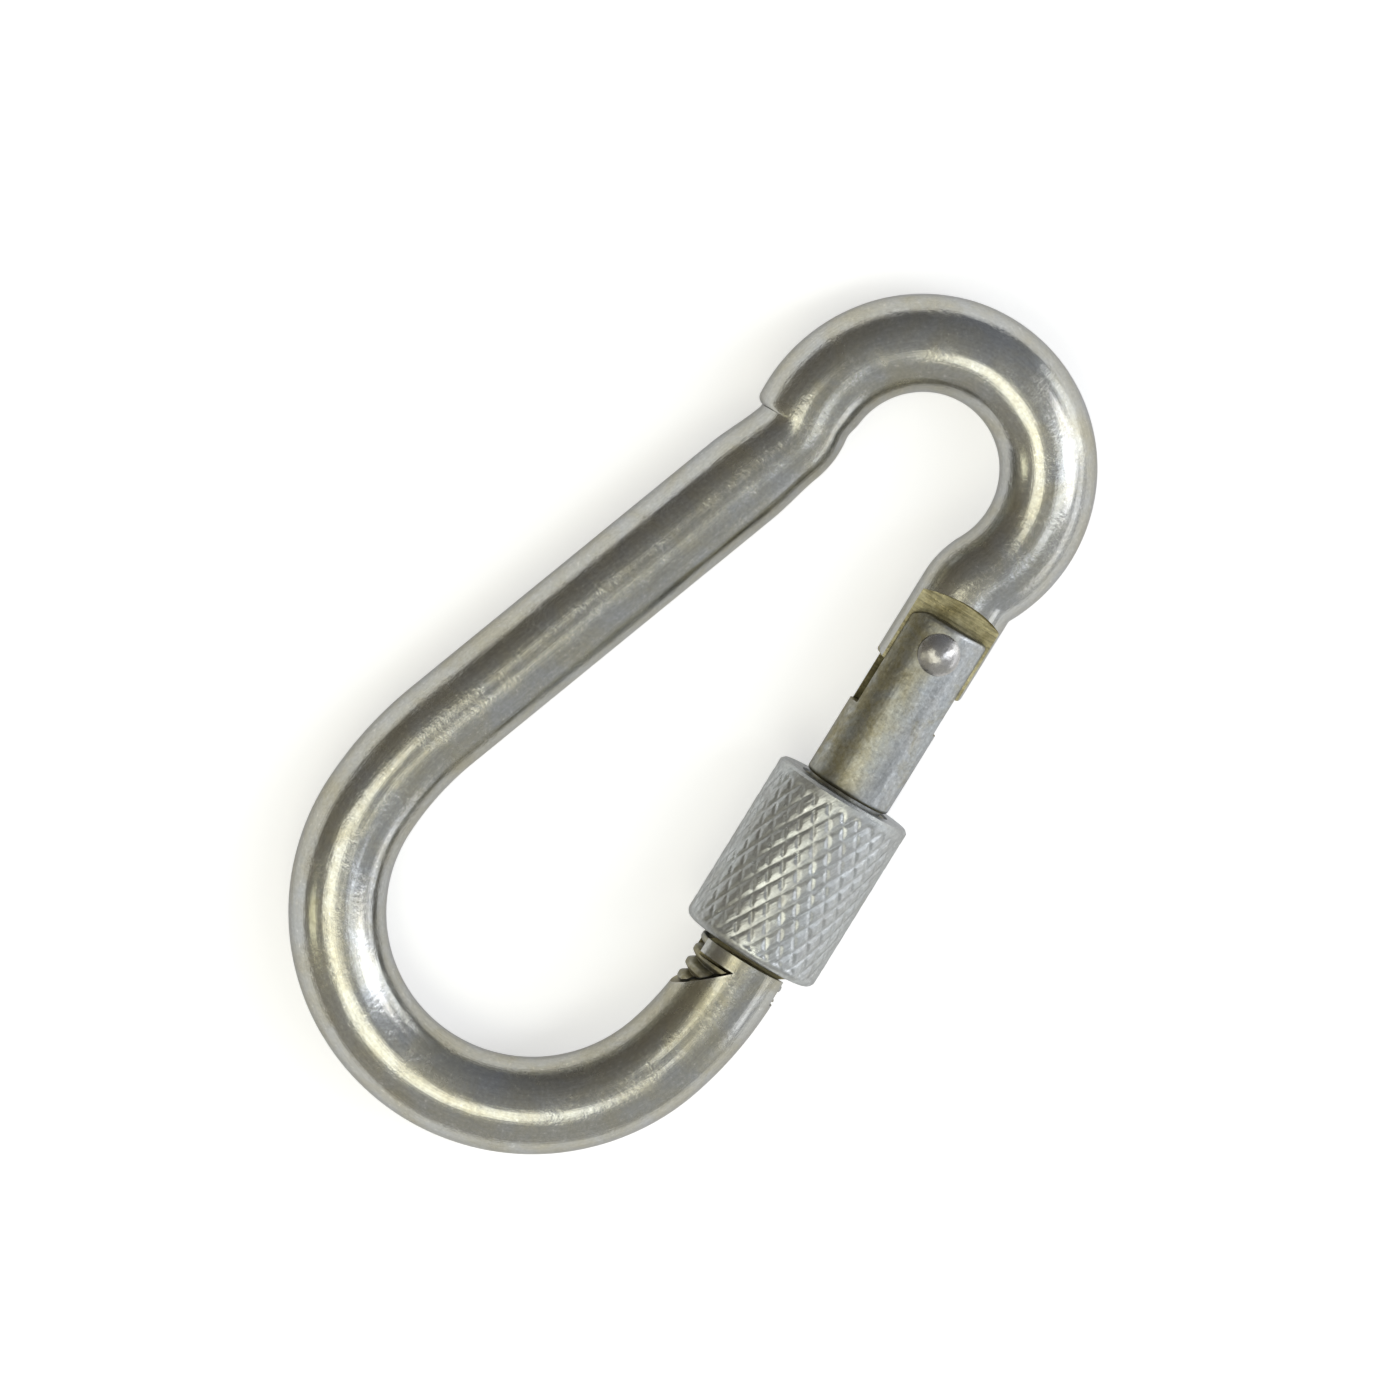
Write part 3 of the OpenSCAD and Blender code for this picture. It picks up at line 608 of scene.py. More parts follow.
class CARABINER_OT_hook_bar(bpy.types.Operator):
    """Bend the bar into its loop and mill its tongue and nose"""

    bl_idname = "carabiner.hook_bar"
    bl_label = "Hook bar"

    def stations(self, s):
        """The bar's sections from the tongue to the nose: centre, outward direction, and how far the outer
        and the inner side are moved along it."""
        loop = s.loop
        # A bend of up to this radius, in mm, takes a section for each such angle, and a wider one more.
        plain_r, finest = 24, math.radians(1.5)
        bow_c = (0, loop.bow_spacing)
        start = s.lean - s.joggle_turn
        spine_start = math.pi - start

        def ease(f):
            """From 0 to 1, slow at both ends."""
            return (1 - math.cos(math.pi * max(0, min(1, f)))) / 2

        def bend(c, r, first, last, outer=0.0, inner=0.0):
            """Sections round a centre, the first left out."""
            count = max(2, math.ceil(abs(last - first) / finest * max(1, abs(r) / plain_r)))
            return [(c[0] + r * math.cos(a), c[1] + r * math.sin(a), a, outer, inner)
                    for a in np.linspace(first, last, count + 1)[1:]]

        def leg(up, outer=0.0, inner=0.0):
            """A section of the gate's leg at a height up the leg."""
            x, y = turned(s.leg_off, up, s.lean)
            return (x, y, s.lean, outer, inner)

        def mirrored(run):
            """The same sections on the spine, in the order in which the bar passes them."""
            return [(-x, y, math.pi - a, outer, inner) for x, y, a, outer, inner in reversed(run)]

        def spine(a, curl=0.0):
            """A section of the small bow's spine half, where the lip grows outside and the pinch inside."""
            lip = loop.lip_h * max(0, (a - spine_start + loop.lip_angle) / loop.lip_angle) ** 2
            return (loop.small_bow_r * math.cos(a), bow_c[1] + loop.small_bow_r * math.sin(a), a,
                    lip - loop.lip_r * (1 - math.cos(curl)),
                    loop.pinch * ease((a - spine_start + loop.pinch_turn) / loop.pinch_turn))

        joggle_c = turned(s.leg_off + s.joggle_r, s.joggle_up, s.lean)
        fades, curls, leg_steps = 24, 14, 24
        pinched = [leg(s.joggle_up - loop.pinch_fade * (1 - i / fades), -loop.pinch * ease(i / fades),
                       loop.pinch * ease(i / fades)) for i in range(1, fades + 1)]
        pinched += bend(joggle_c, -s.joggle_r, s.lean, start, -loop.pinch, loop.pinch)
        tongue_end = s.hinge_up - s.hinge.tongue_reach
        run = [leg(up) for up in np.linspace(tongue_end, s.joggle_up, leg_steps)]
        run += bend(joggle_c, -s.joggle_r, s.lean, start)
        run += bend(bow_c, loop.small_bow_r, start, math.pi / 2)
        # The small bow's spine half ends in a lip, whose outer side curls in to the flattened leg.
        curl = math.acos(1 - (loop.lip_h + loop.pinch) / loop.lip_r)
        per_mm = 1 / (loop.small_bow_r + s.bar_r)
        curl_start = spine_start - loop.lip_r * math.sin(curl) * per_mm
        run += [spine(r[2]) for r in bend(bow_c, loop.small_bow_r, math.pi / 2, curl_start)]
        run += [spine(curl_start + loop.lip_r * math.sin(t) * per_mm, t)
                for t in np.linspace(0, curl, curls + 1)[1:-1]]
        run += mirrored(pinched)
        top = s.joggle_up - loop.pinch_fade
        run += mirrored([leg(up) for up in np.linspace(s.flank_c[1], top, leg_steps)[:-1]])
        spine_c = turned(-s.flank_c[0], s.flank_c[1], -s.lean)
        run += bend(spine_c, loop.flank_r, math.pi - s.lean, math.pi - s.lean + s.flank_turn)
        run += bend((0, 0), loop.large_bow_r, math.pi - s.lean + s.flank_turn,
                    2 * math.pi + s.lean - s.flank_turn)
        nose_c = turned(*s.flank_c, s.lean)
        run += bend(nose_c, loop.flank_r, s.lean - s.flank_turn, s.lean)
        run += [leg(up) for up in np.linspace(s.flank_c[1], s.hinge_up - s.prong_tip, 6)[1:]]
        return run

    def bar(self, s):
        """The bent bar before any cut, with its map and its painted shade near the nose."""
        sides = 72
        around = (np.arange(sides) + 0.5) * 2 * math.pi / sides - math.pi / 2
        run = self.stations(s)
        points, along, total = [], [], 0.0
        for i, (x, y, a, outer, inner) in enumerate(run):
            if i:
                total += math.hypot(x - run[i - 1][0], y - run[i - 1][1])
            along.append(total)
            for q in around:
                side = math.cos(q)
                out = s.bar_r * side + (outer if side > 0 else inner) * side * side
                points.append((x + out * math.cos(a), y + out * math.sin(a), s.bar_r * math.sin(q)))
        made = shape("hook_bar", points, rings_to_faces(len(run), sides))
        # Painted shade and reflection of the nut, darker and olive-golden, over the last stretch before the
        # nose:
        # from 16 mm before the end, in full from 5 mm.
        nose_shade_starts, nose_shade_full = total - 16, total - 5
        nose_shade = np.interp(np.array(along), [nose_shade_starts, nose_shade_full], [0.0, 1.0])
        made.data.attributes.new("stain_and_shade", "FLOAT", "POINT").data.foreach_set("value", np.repeat(nose_shade, sides))
        # The plating's marks follow the bar: one map direction along it and one round it, in metres.
        layer = made.data.uv_layers.new(name="bar")
        for face in made.data.polygons:
            column = [made.data.loops[i].vertex_index % sides for i in face.loop_indices]
            wraps = 0 in column and sides - 1 in column and len(column) == 4
            for i, k in zip(face.loop_indices, column):
                ring = made.data.loops[i].vertex_index // sides
                k = k + sides if wraps and k == 0 else k
                layer.data[i].uv = (along[ring] * MM, k * 2 * math.pi * s.bar_r / sides * MM)
        return made

    def execute(self, context):
        s = layout()
        hinge, nose = s.hinge, s.nose
        made = self.bar(s)
        wide = s.bar_r + PAST
        centre = hinge.shoulder_r - hinge.shoulder_up
        half = math.degrees(math.asin(wide / hinge.shoulder_r))
        shoulder = arc(centre, 0, hinge.shoulder_r, 180 - half, 180 + half, 40)
        shoulder += [(hinge.tongue_reach + PAST, -wide), (hinge.tongue_reach + PAST, wide)]
        face = hinge.tongue_t / 2
        lean = (wide - face) * math.tan(hinge.shoulder_lean)
        for side in (1, -1):
            tool = prism(shoulder, side * face, side * wide, shift=-lean)
            combine(made, placed(tool, s.on_gate), "DIFFERENCE")
        inset = s.bar_r - hinge.tongue_corner_r
        for side in (1, -1):
            corner_x = hinge.tongue_reach - hinge.tongue_corner_r
            corner = arc(corner_x, inset, hinge.tongue_corner_r, 90, 0, 12)
            corner += [(hinge.tongue_reach + PAST / 2, inset), (hinge.tongue_reach + PAST / 2, wide),
                       (corner_x, wide)]
            corner = [(x, side * y) for x, y in corner]
            combine(made, placed(prism(corner, -wide, wide), s.on_gate), "DIFFERENCE")
        hole_r = hinge.rivet_d / 2 + s.play.rivet
        hole = lathe("tool", [(-wide, hole_r), (wide, hole_r)], HOLE_SIDES, 1)
        hole.data.transform(Matrix.Rotation(math.pi / 2, 4, "Y"))
        combine(made, placed(hole, s.on_gate), "DIFFERENCE")
        slot_half = s.gate.blade_t / 2 + s.play.slot
        slot = [(s.prong_tip - PAST, -wide), (s.slot_floor, -wide), (s.slot_floor, wide),
                (s.prong_tip - PAST, wide)]
        combine(made, placed(prism(slot, -slot_half, slot_half), s.on_gate), "DIFFERENCE")
        reach = wide - nose.notch_in
        notch = [(s.load_face, -nose.notch_in), (s.load_face, -wide),
                 (s.load_face + reach * math.tan(nose.notch_angle), -wide)]
        combine(made, placed(prism(notch, -wide, wide), s.on_gate), "DIFFERENCE")
        r = nose.prong_round
        corner = arc(s.load_face - r, -s.bar_r + r / 2, r, 0, -90, 10)
        corner += [(s.load_face - r, -wide), (s.load_face + OVERLAP, -wide),
                   (s.load_face + OVERLAP, -s.bar_r + r / 2)]
        combine(made, placed(prism(corner, -wide, wide), s.on_gate), "DIFFERENCE")
        finished(made, "hook_bar", "hook_body", "hook",
                 ["Zinc-plated drawn bar", "Zinc over milled steel"])
        return {"FINISHED"}


class CARABINER_OT_gate(bpy.types.Operator):
    """Turn the gate's rod, cut its fork and thread, and mill its blade and T-head"""

    bl_idname = "carabiner.gate"
    bl_label = "Gate"

    def core(self, gate, low, high):
        """A plain length of the thread's root."""
        root_r = gate.root_d / 2
        return lathe("core", [(low, 0), (low, root_r), (high, root_r), (high, 0)], ROD_SIDES)

    def thread_tree(self):
        """Winds a ridge of trapezoid section up a helix about the third axis."""
        tree, given = begun("Thread ridge", [(label, FLOAT) for label in (
            "Turns", "Pitch", "Root radius", "Depth", "Crest", "Crest rounding", "Sink")])
        # The section reaches from inside the core, by the sink, to the crest.
        height = add(tree, MATH, {"operation": "MULTIPLY"}, {0: given["Turns"], 1: given["Pitch"]})
        full = add(tree, MATH, {}, {0: given["Depth"], 1: given["Sink"]})
        half = add(tree, MATH, {"operation": "MULTIPLY"}, {0: full.outputs[0], 1: 0.5})
        middle = add(tree, MATH, {}, {0: given["Root radius"], 1: half.outputs[0]})
        centre = add(tree, MATH, {"operation": "SUBTRACT"}, {0: middle.outputs[0], 1: given["Sink"]})
        helix = add(tree, "GeometryNodeCurveSpiral", {}, {
            "Resolution": 64, "Rotations": given["Turns"], "Start Radius": centre.outputs[0],
            "End Radius": centre.outputs[0], "Height": height.outputs[0]})
        upright = add(tree, "GeometryNodeSetCurveNormal", {"mode": "Z_UP"}, {"Curve": helix.outputs[0]})
        flank = add(tree, MATH, {"operation": "SUBTRACT"}, {0: given["Pitch"], 1: given["Crest"]})
        slope = add(tree, MATH, {"operation": "DIVIDE"}, {0: flank.outputs[0], 1: given["Depth"]})
        spread = add(tree, MATH, {"operation": "MULTIPLY"}, {0: slope.outputs[0], 1: full.outputs[0]})
        foot = add(tree, MATH, {}, {0: spread.outputs[0], 1: given["Crest"]})
        section = add(tree, "GeometryNodeCurvePrimitiveQuadrilateral", {"mode": "TRAPEZOID"}, {
            "Bottom Width": foot.outputs[0], "Top Width": given["Crest"], "Offset": 0.0,
            "Height": full.outputs[0]})
        eased = add(tree, "GeometryNodeFilletCurve", {"mode": "POLY"}, {
            "Curve": section.outputs[0], "Count": 3, "Radius": given["Crest rounding"]})
        turn = add(tree, "GeometryNodeTransform", {}, {
            "Geometry": eased.outputs[0], "Rotation": (0, 0, math.radians(90))})
        ridge = add(tree, "GeometryNodeCurveToMesh", {}, {
            "Curve": upright.outputs[0], "Profile Curve": turn.outputs[0], "Fill Caps": True})
        return closed(tree, ridge.outputs[0], given["Material"])

    def execute(self, context):
        s = layout()
        gate, hinge, play = s.gate, s.hinge, s.play
        wide = s.rod_r + PAST
        rod = [(-gate.ear_up, 0)]
        rod += [(gate.ear_round - gate.ear_up + x, y) for x, y in
                arc(0, s.rod_r - gate.ear_round, gate.ear_round, 180, 90, 8)]
        rod += [(s.rod_end - gate.rod_round + x, y) for x, y in
                arc(0, s.rod_r - gate.rod_round, gate.rod_round, 90, 0, 8)]
        rod += [(s.rod_end, 0)]
        made = lathe("gate", rod, ROD_SIDES)
        # The ears: a large corner on the inner side, which turns past the shoulder, and a small outer one.
        inner_r, outer_r = gate.ear_inner_r, gate.ear_outer_r
        ears = arc(inner_r - gate.ear_up, inner_r - s.rod_r, inner_r, 270, 180, 20)
        ears += arc(outer_r - gate.ear_up, s.rod_r - outer_r, outer_r, 180, 90, 12)
        ears += [(ears[-1][0], wide), (s.rod_end + PAST / 2, wide), (s.rod_end + PAST / 2, -wide),
                 (ears[0][0], -wide)]
        combine(made, prism(ears, -wide, wide, 0), "INTERSECT")

        # The ridge starts and ends over a turn outside the thread, where it is cut off in full height.
        start = s.rod_end + gate.relief_w
        first = start - 1.5 * gate.pitch
        turns = math.ceil((s.head_end + 2 * gate.pitch - first) / gate.pitch)
        # The ridge's foot lies this far inside the core, in millimetres.
        sink = 0.3
        ridge = grown("thread", self.thread_tree(), {
            "Turns": float(turns), "Pitch": gate.pitch, "Root radius": gate.root_d / 2,
            "Depth": (gate.thread_d - gate.root_d) / 2, "Crest": gate.crest,
            "Crest rounding": gate.crest_round, "Sink": sink})
        outward(ridge)
        ridge.data.transform(Matrix.Translation((first, 0, 0)) @ Matrix.Rotation(math.pi / 2, 4, "Y"))
        core = self.core(gate, s.rod_end - PAST / 2, s.head_end + PAST / 2)
        thread = combine(core, ridge, "UNION", crosses_itself=True)
        keep = prism([(start, -wide), (s.full_thread_end, -wide), (s.full_thread_end, wide), (start, wide)],
                     -wide, wide)
        relief = self.core(gate, s.rod_end - OVERLAP, start + OVERLAP)
        # Past the full thread only the blade and the T-head keep theirs. The blade starts a little inside.
        inside = 3
        blade_start, blade_end = s.full_thread_end - inside, s.slot_floor - play.blade
        blade = prism([(blade_start, -wide), (blade_end, -wide), (blade_end, wide), (blade_start, wide)],
                      -gate.blade_t / 2, gate.blade_t / 2)
        lean = s.nose.notch_angle
        edge = (s.load_face - play.head * math.cos(lean), -s.nose.notch_in - play.head * math.sin(lean))
        head = prism([(x, y) for x in (s.head_top, s.head_end) for y in
                      sorted((-wide, edge[1] - (x - edge[0]) / math.tan(lean)), reverse=x == s.head_end)],
                     -wide, wide)
        combine(combine(keep, blade, "UNION"), head, "UNION")
        combine(thread, keep, "INTERSECT")
        combine(combine(made, relief, "UNION"), thread, "UNION")

        slot = [(-wide, -wide), (gate.slot_inner, -wide), (gate.slot_inner, -s.rod_r),
                (gate.slot_outer, s.rod_r), (gate.slot_outer, wide), (-wide, wide)]
        half = hinge.tongue_t / 2 + play.slot
        combine(made, prism(slot, -half, half), "DIFFERENCE")
        upright = Matrix.Rotation(-math.pi / 2, 4, "Y")
        hole_r, seat_r = hinge.rivet_d / 2 + play.rivet, hinge.head_d / 2 + play.rivet
        hole = lathe("tool", [(-wide, 0), (-wide, hole_r), (wide, hole_r), (wide, 0)], HOLE_SIDES, 1)
        combine(made, placed(hole, upright), "DIFFERENCE")
        floor = s.rod_r - hinge.seat - play.rivet
        for side in (1, -1):
            seat = lathe("tool", [(side * floor, 0), (side * floor, seat_r), (side * wide, seat_r),
                                  (side * wide, 0)], SEAT_SIDES, 1)
            combine(made, placed(seat, upright), "DIFFERENCE")
        bore_end = s.plunger.spring_floor
        bore = lathe("tool", [(hinge.tongue_reach, 0), (hinge.tongue_reach, s.bore_r), (bore_end, s.bore_r),
                              (bore_end, 0)], HOLE_SIDES, 1)
        combine(made, bore, "DIFFERENCE")
        # Thread and T-head carry the oil that stains them. The rod's inner side gets painted shade, darker
        # and olive, none from the first of these shares of its radius and in full from the second.
        side_shade_starts, side_shade_full, heavy = -0.35, 0.45, 2.0
        stain_and_shade_points = made.data.attributes.new("stain_and_shade", "FLOAT", "POINT")
        stain_and_shade_points.data.foreach_set("value", [
            heavy if point.co.x > start else
            np.interp(-point.co.y / s.rod_r, [side_shade_starts, side_shade_full], [0.0, heavy])
            for point in made.data.vertices])
        placed(made, s.on_gate)
        finished(made, "gate_rod", "gate", "gate",
                 ["Zinc-plated turned rod", "Zinc over milled steel"])
        return {"FINISHED"}


class CARABINER_OT_hinge_rivet(bpy.types.Operator):
    """Peen the rivet through the gate's ears and the tongue"""

    bl_idname = "carabiner.hinge_rivet"
    bl_label = "Hinge rivet"

    def execute(self, context):
        s = layout()
        hinge = s.hinge
        # Peening spreads the head until it fills its seat and bites a little into the seat's wall.
        bite = 1.2
        rim, head_r = s.rod_r + hinge.rim, hinge.head_d / 2 + bite * s.play.rivet
        dome_r = (head_r ** 2 + hinge.dome ** 2) / (2 * hinge.dome)
        spread = math.degrees(math.asin(head_r / dome_r))
        half = [(rim + hinge.dome - dome_r + x, y) for x, y in arc(0, 0, dome_r, 0, spread, 16)]
        half += [(s.rod_r - hinge.seat, head_r), (s.rod_r - hinge.seat, hinge.rivet_d / 2)]
        profile = half + [(-x, y) for x, y in reversed(half)]
        made = lathe("rivet", profile, RIVET_SIDES)
        placed(made, s.on_gate @ Matrix.Rotation(-math.pi / 2, 4, "Y"))
        finished(made, "hinge_rivet_peened", "hinge_rivet", "gate", ["Peened rivet steel"])
        return {"FINISHED"}


class CARABINER_OT_lock_nut(bpy.types.Operator):
    """Turn the locking nut and roll its diamond knurl"""

    bl_idname = "carabiner.lock_nut"
    bl_label = "Lock nut"

    def knurl_tree(self):
        """Presses two crossing families of V grooves into the barrel, which lies along the first axis."""
        sizes = [(label, FLOAT) for label in (
            "Barrel radius", "Twist", "Depth", "Cross depth", "Start", "End")]
        tree, given = begun("Diamond knurl", [
            ("Geometry", "NodeSocketGeometry"), ("Grooves", "NodeSocketInt"), *sizes])
        # Half the width of a leading and of a crossing groove, as shares of their spacing.
        leading_w, crossing_w = 0.3, 0.24
        # The length over which the grooves fade in and out, and how near to the barrel's radius a point
        # has to be to be pressed in, both in millimetres.
        fade, near = 0.5, 0.02
        place = add(tree, "GeometryNodeInputPosition").outputs[0]
        parts = add(tree, "ShaderNodeSeparateXYZ", {}, {0: place}).outputs
        bearing = add(tree, MATH, {"operation": "ARCTAN2"}, {0: parts[2], 1: parts[1]}).outputs[0]
        per_turn = add(tree, MATH, {"operation": "DIVIDE"}, {
            0: given["Grooves"], 1: 2 * math.pi}).outputs[0]
        twist = add(tree, MATH, {"operation": "MULTIPLY"}, {0: parts[0], 1: given["Twist"]}).outputs[0]

        def groove(operation, depth, half_w):
            """How deep one family of grooves goes at each point, before it fades."""
            swung = add(tree, MATH, {"operation": operation}, {0: bearing, 1: twist}).outputs[0]
            phase = add(tree, MATH, {"operation": "MULTIPLY"}, {0: swung, 1: per_turn}).outputs[0]
            # From 0 on a groove's floor to 0.5 midway to the next one, flat beyond half the width.
            wave = add(tree, MATH, {"operation": "PINGPONG"}, {0: phase, 1: 0.5}).outputs[0]
            wall = add(tree, MAP_RANGE, {"interpolation_type": "LINEAR"}, {
                0: wave, 1: 0.0, 2: half_w, 3: 1.0, 4: 0.0}).outputs[0]
            return add(tree, MATH, {"operation": "MULTIPLY"}, {0: wall, 1: depth}).outputs[0]

        def faded(limit, operation):
            """From 0 at a limit along the nut to 1 further in."""
            inside = add(tree, MATH, {"operation": operation}, {0: limit, 1: fade}).outputs[0]
            return add(tree, MAP_RANGE, {"interpolation_type": "SMOOTHSTEP"}, {
                0: parts[0], 1: limit, 2: inside}).outputs[0]

        deepest = add(tree, MATH, {"operation": "MAXIMUM"}, {
            0: groove("SUBTRACT", given["Depth"], leading_w),
            1: groove("ADD", given["Cross depth"], crossing_w)}).outputs[0]
        reach = add(tree, MATH, {"operation": "MULTIPLY"}, {
            0: faded(given["Start"], "ADD"), 1: faded(given["End"], "SUBTRACT")}).outputs[0]
        cut = add(tree, MATH, {"operation": "MULTIPLY"}, {0: deepest, 1: reach}).outputs[0]
        flat = add(tree, "ShaderNodeCombineXYZ", {}, {1: parts[1], 2: parts[2]}).outputs[0]
        radius = add(tree, VECTOR_MATH, {"operation": "LENGTH"}, {0: flat}).outputs["Value"]
        least = add(tree, MATH, {"operation": "SUBTRACT"}, {0: given["Barrel radius"], 1: near}).outputs[0]
        on_barrel = add(tree, MATH, {"operation": "GREATER_THAN"}, {0: radius, 1: least}).outputs[0]
        unit = add(tree, VECTOR_MATH, {"operation": "NORMALIZE"}, {0: flat}).outputs[0]
        inward = add(tree, MATH, {"operation": "MULTIPLY"}, {0: cut, 1: -1.0}).outputs[0]
        shift = add(tree, VECTOR_MATH, {"operation": "SCALE"}, {0: unit, "Scale": inward}).outputs[0]
        pressed = add(tree, "GeometryNodeSetPosition", {}, {
            "Geometry": given["Geometry"], "Selection": on_barrel, "Offset": shift})
        return closed(tree, pressed.outputs[0], given["Material"])

    def lay(self, made, sides, twist, places, outer):
        """Maps the barrel with one direction along the leading grooves and one across them, in metres."""
        layer = made.data.uv_layers.new(name="lay")
        corners = np.empty(len(made.data.loops), int)
        made.data.loops.foreach_get("vertex_index", corners)
        column = (corners % sides).reshape(-1, 3)
        column = column + sides * ((column == 0) & (column.max(axis=1, keepdims=True) == sides - 1))
        x = np.array(places)[corners // sides]
        lean = math.atan(twist * outer)
        across = column.ravel() * 2 * math.pi / sides * outer * math.cos(lean)
        along = x / math.cos(lean) + column.ravel() * 2 * math.pi / sides * outer * math.sin(lean)
        layer.data.foreach_set("uv", (np.stack([along, across], 1) * MM).ravel())

    def execute(self, context):
        s = layout()
        nut, play = s.nut, s.play
        outer, end = nut.d / 2, s.nut_top + nut.len
        bore, counterbore = s.gate.thread_d / 2 + play.nut, s.bar_r + play.nose
        # Columns of points from one groove to the next.
        columns = 14
        sides = columns * nut.grooves
        twist = math.tan(nut.groove_lean) / outer
        # The columns wind with the leading grooves, and the rows lie so close that the crossing grooves
        # run from corner to corner of the cells.
        step = math.pi / sides / twist
        length = nut.len - nut.chamfer - nut.round
        rows = s.nut_top + nut.chamfer + np.append(np.arange(0, length, step), length)
        profile = [(s.nut_top, bore), (s.nut_top, outer - nut.chamfer)] + [(x, outer) for x in rows]
        profile += arc(end - nut.round, outer - nut.round, nut.round, 90, 0, 10)[1:]
        profile += [(end, counterbore), (end - nut.bore_deep, counterbore), (end - nut.bore_deep, bore),
                    (s.nut_top, bore)]
        turns = np.arange(sides) * 2 * math.pi / sides
        points = [(x, r * math.cos(t + twist * x), r * math.sin(t + twist * x))
                  for x, r in profile for t in turns]
        faces = []
        for a, b, c, d in rings_to_faces(len(profile), sides)[1:-1]:
            faces += [(a, b, d), (b, c, d)]
        made = shape("nut", points, faces)
        self.lay(made, sides, twist, [x for x, r in profile], outer)
        made = outward(made)
        # The grooves run out a little past the start of the rounded rim.
        run_out = 0.3
        made = grown("knurl", self.knurl_tree(), {
            "Barrel radius": outer, "Grooves": nut.grooves, "Twist": twist,
            "Depth": nut.groove_deep, "Cross depth": nut.cross_deep,
            "Start": s.nut_top + nut.plain_rim, "End": end - nut.round + run_out}, made)
        placed(made, s.on_gate)
        finished(made, "lock_nut_knurled", "lock_nut", "nut", ["Zinc-plated knurled nut"])
        return {"FINISHED"}


class CARABINER_OT_closing_parts(bpy.types.Operator):
    """Turn the plunger and wind the spring that close the gate from inside"""

    bl_idname = "carabiner.closing_parts"
    bl_label = "Plunger and spring"

    def spring_tree(self):
        """Winds round wire up a helix about the third axis."""
        tree, given = begun("Closing spring", [(label, FLOAT) for label in (
            "Turns", "Height", "Coil radius", "Wire radius")])
        helix = add(tree, "GeometryNodeCurveSpiral", {}, {
            "Resolution": 40, "Rotations": given["Turns"], "Start Radius": given["Coil radius"],
            "End Radius": given["Coil radius"], "Height": given["Height"]})
        wire = add(tree, "GeometryNodeCurvePrimitiveCircle", {}, {
            "Resolution": 12, "Radius": given["Wire radius"]})
        coil = add(tree, "GeometryNodeCurveToMesh", {}, {
            "Curve": helix.outputs[0], "Profile Curve": wire.outputs[0], "Fill Caps": True})
        return closed(tree, coil.outputs[0], given["Material"])

    def execute(self, context):
        s = layout()
        p, play = s.plunger, s.play
        spread = math.degrees(math.asin(p.d / 2 / p.tip_r))
        profile = [(s.plunger_top + p.tip_r - x, y) for x, y in arc(0, 0, p.tip_r, 0, spread, 12)]
        shoulder = s.plunger_top + p.head
        profile += [(shoulder, p.d / 2), (shoulder, p.stem_d / 2), (shoulder + p.stem, p.stem_d / 2),
                    (shoulder + p.stem, 0)]
        made = placed(lathe("plunger", profile, HOLE_SIDES), s.on_gate)
        finished(made, "plunger_turned", "plunger", "plunger", ["Oiled inner steel"])

        start = shoulder + play.spring + p.wire_d / 2
        height = p.spring_floor - play.spring - p.wire_d / 2 - start
        spring = grown("spring", self.spring_tree(), {
            "Turns": float(p.turns), "Height": height, "Wire radius": p.wire_d / 2,
            "Coil radius": s.bore_r - play.plunger - p.wire_d / 2})
        outward(spring)
        placed(spring, s.on_gate @ Matrix.Translation((start, 0, 0)) @ Matrix.Rotation(math.pi / 2, 4, "Y"))
        finished(spring, "closing_spring_wound", "closing_spring", "gate",
                 ["Oiled inner steel"])
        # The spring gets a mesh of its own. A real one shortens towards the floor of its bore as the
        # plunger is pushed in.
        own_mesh(spring)
        return {"FINISHED"}


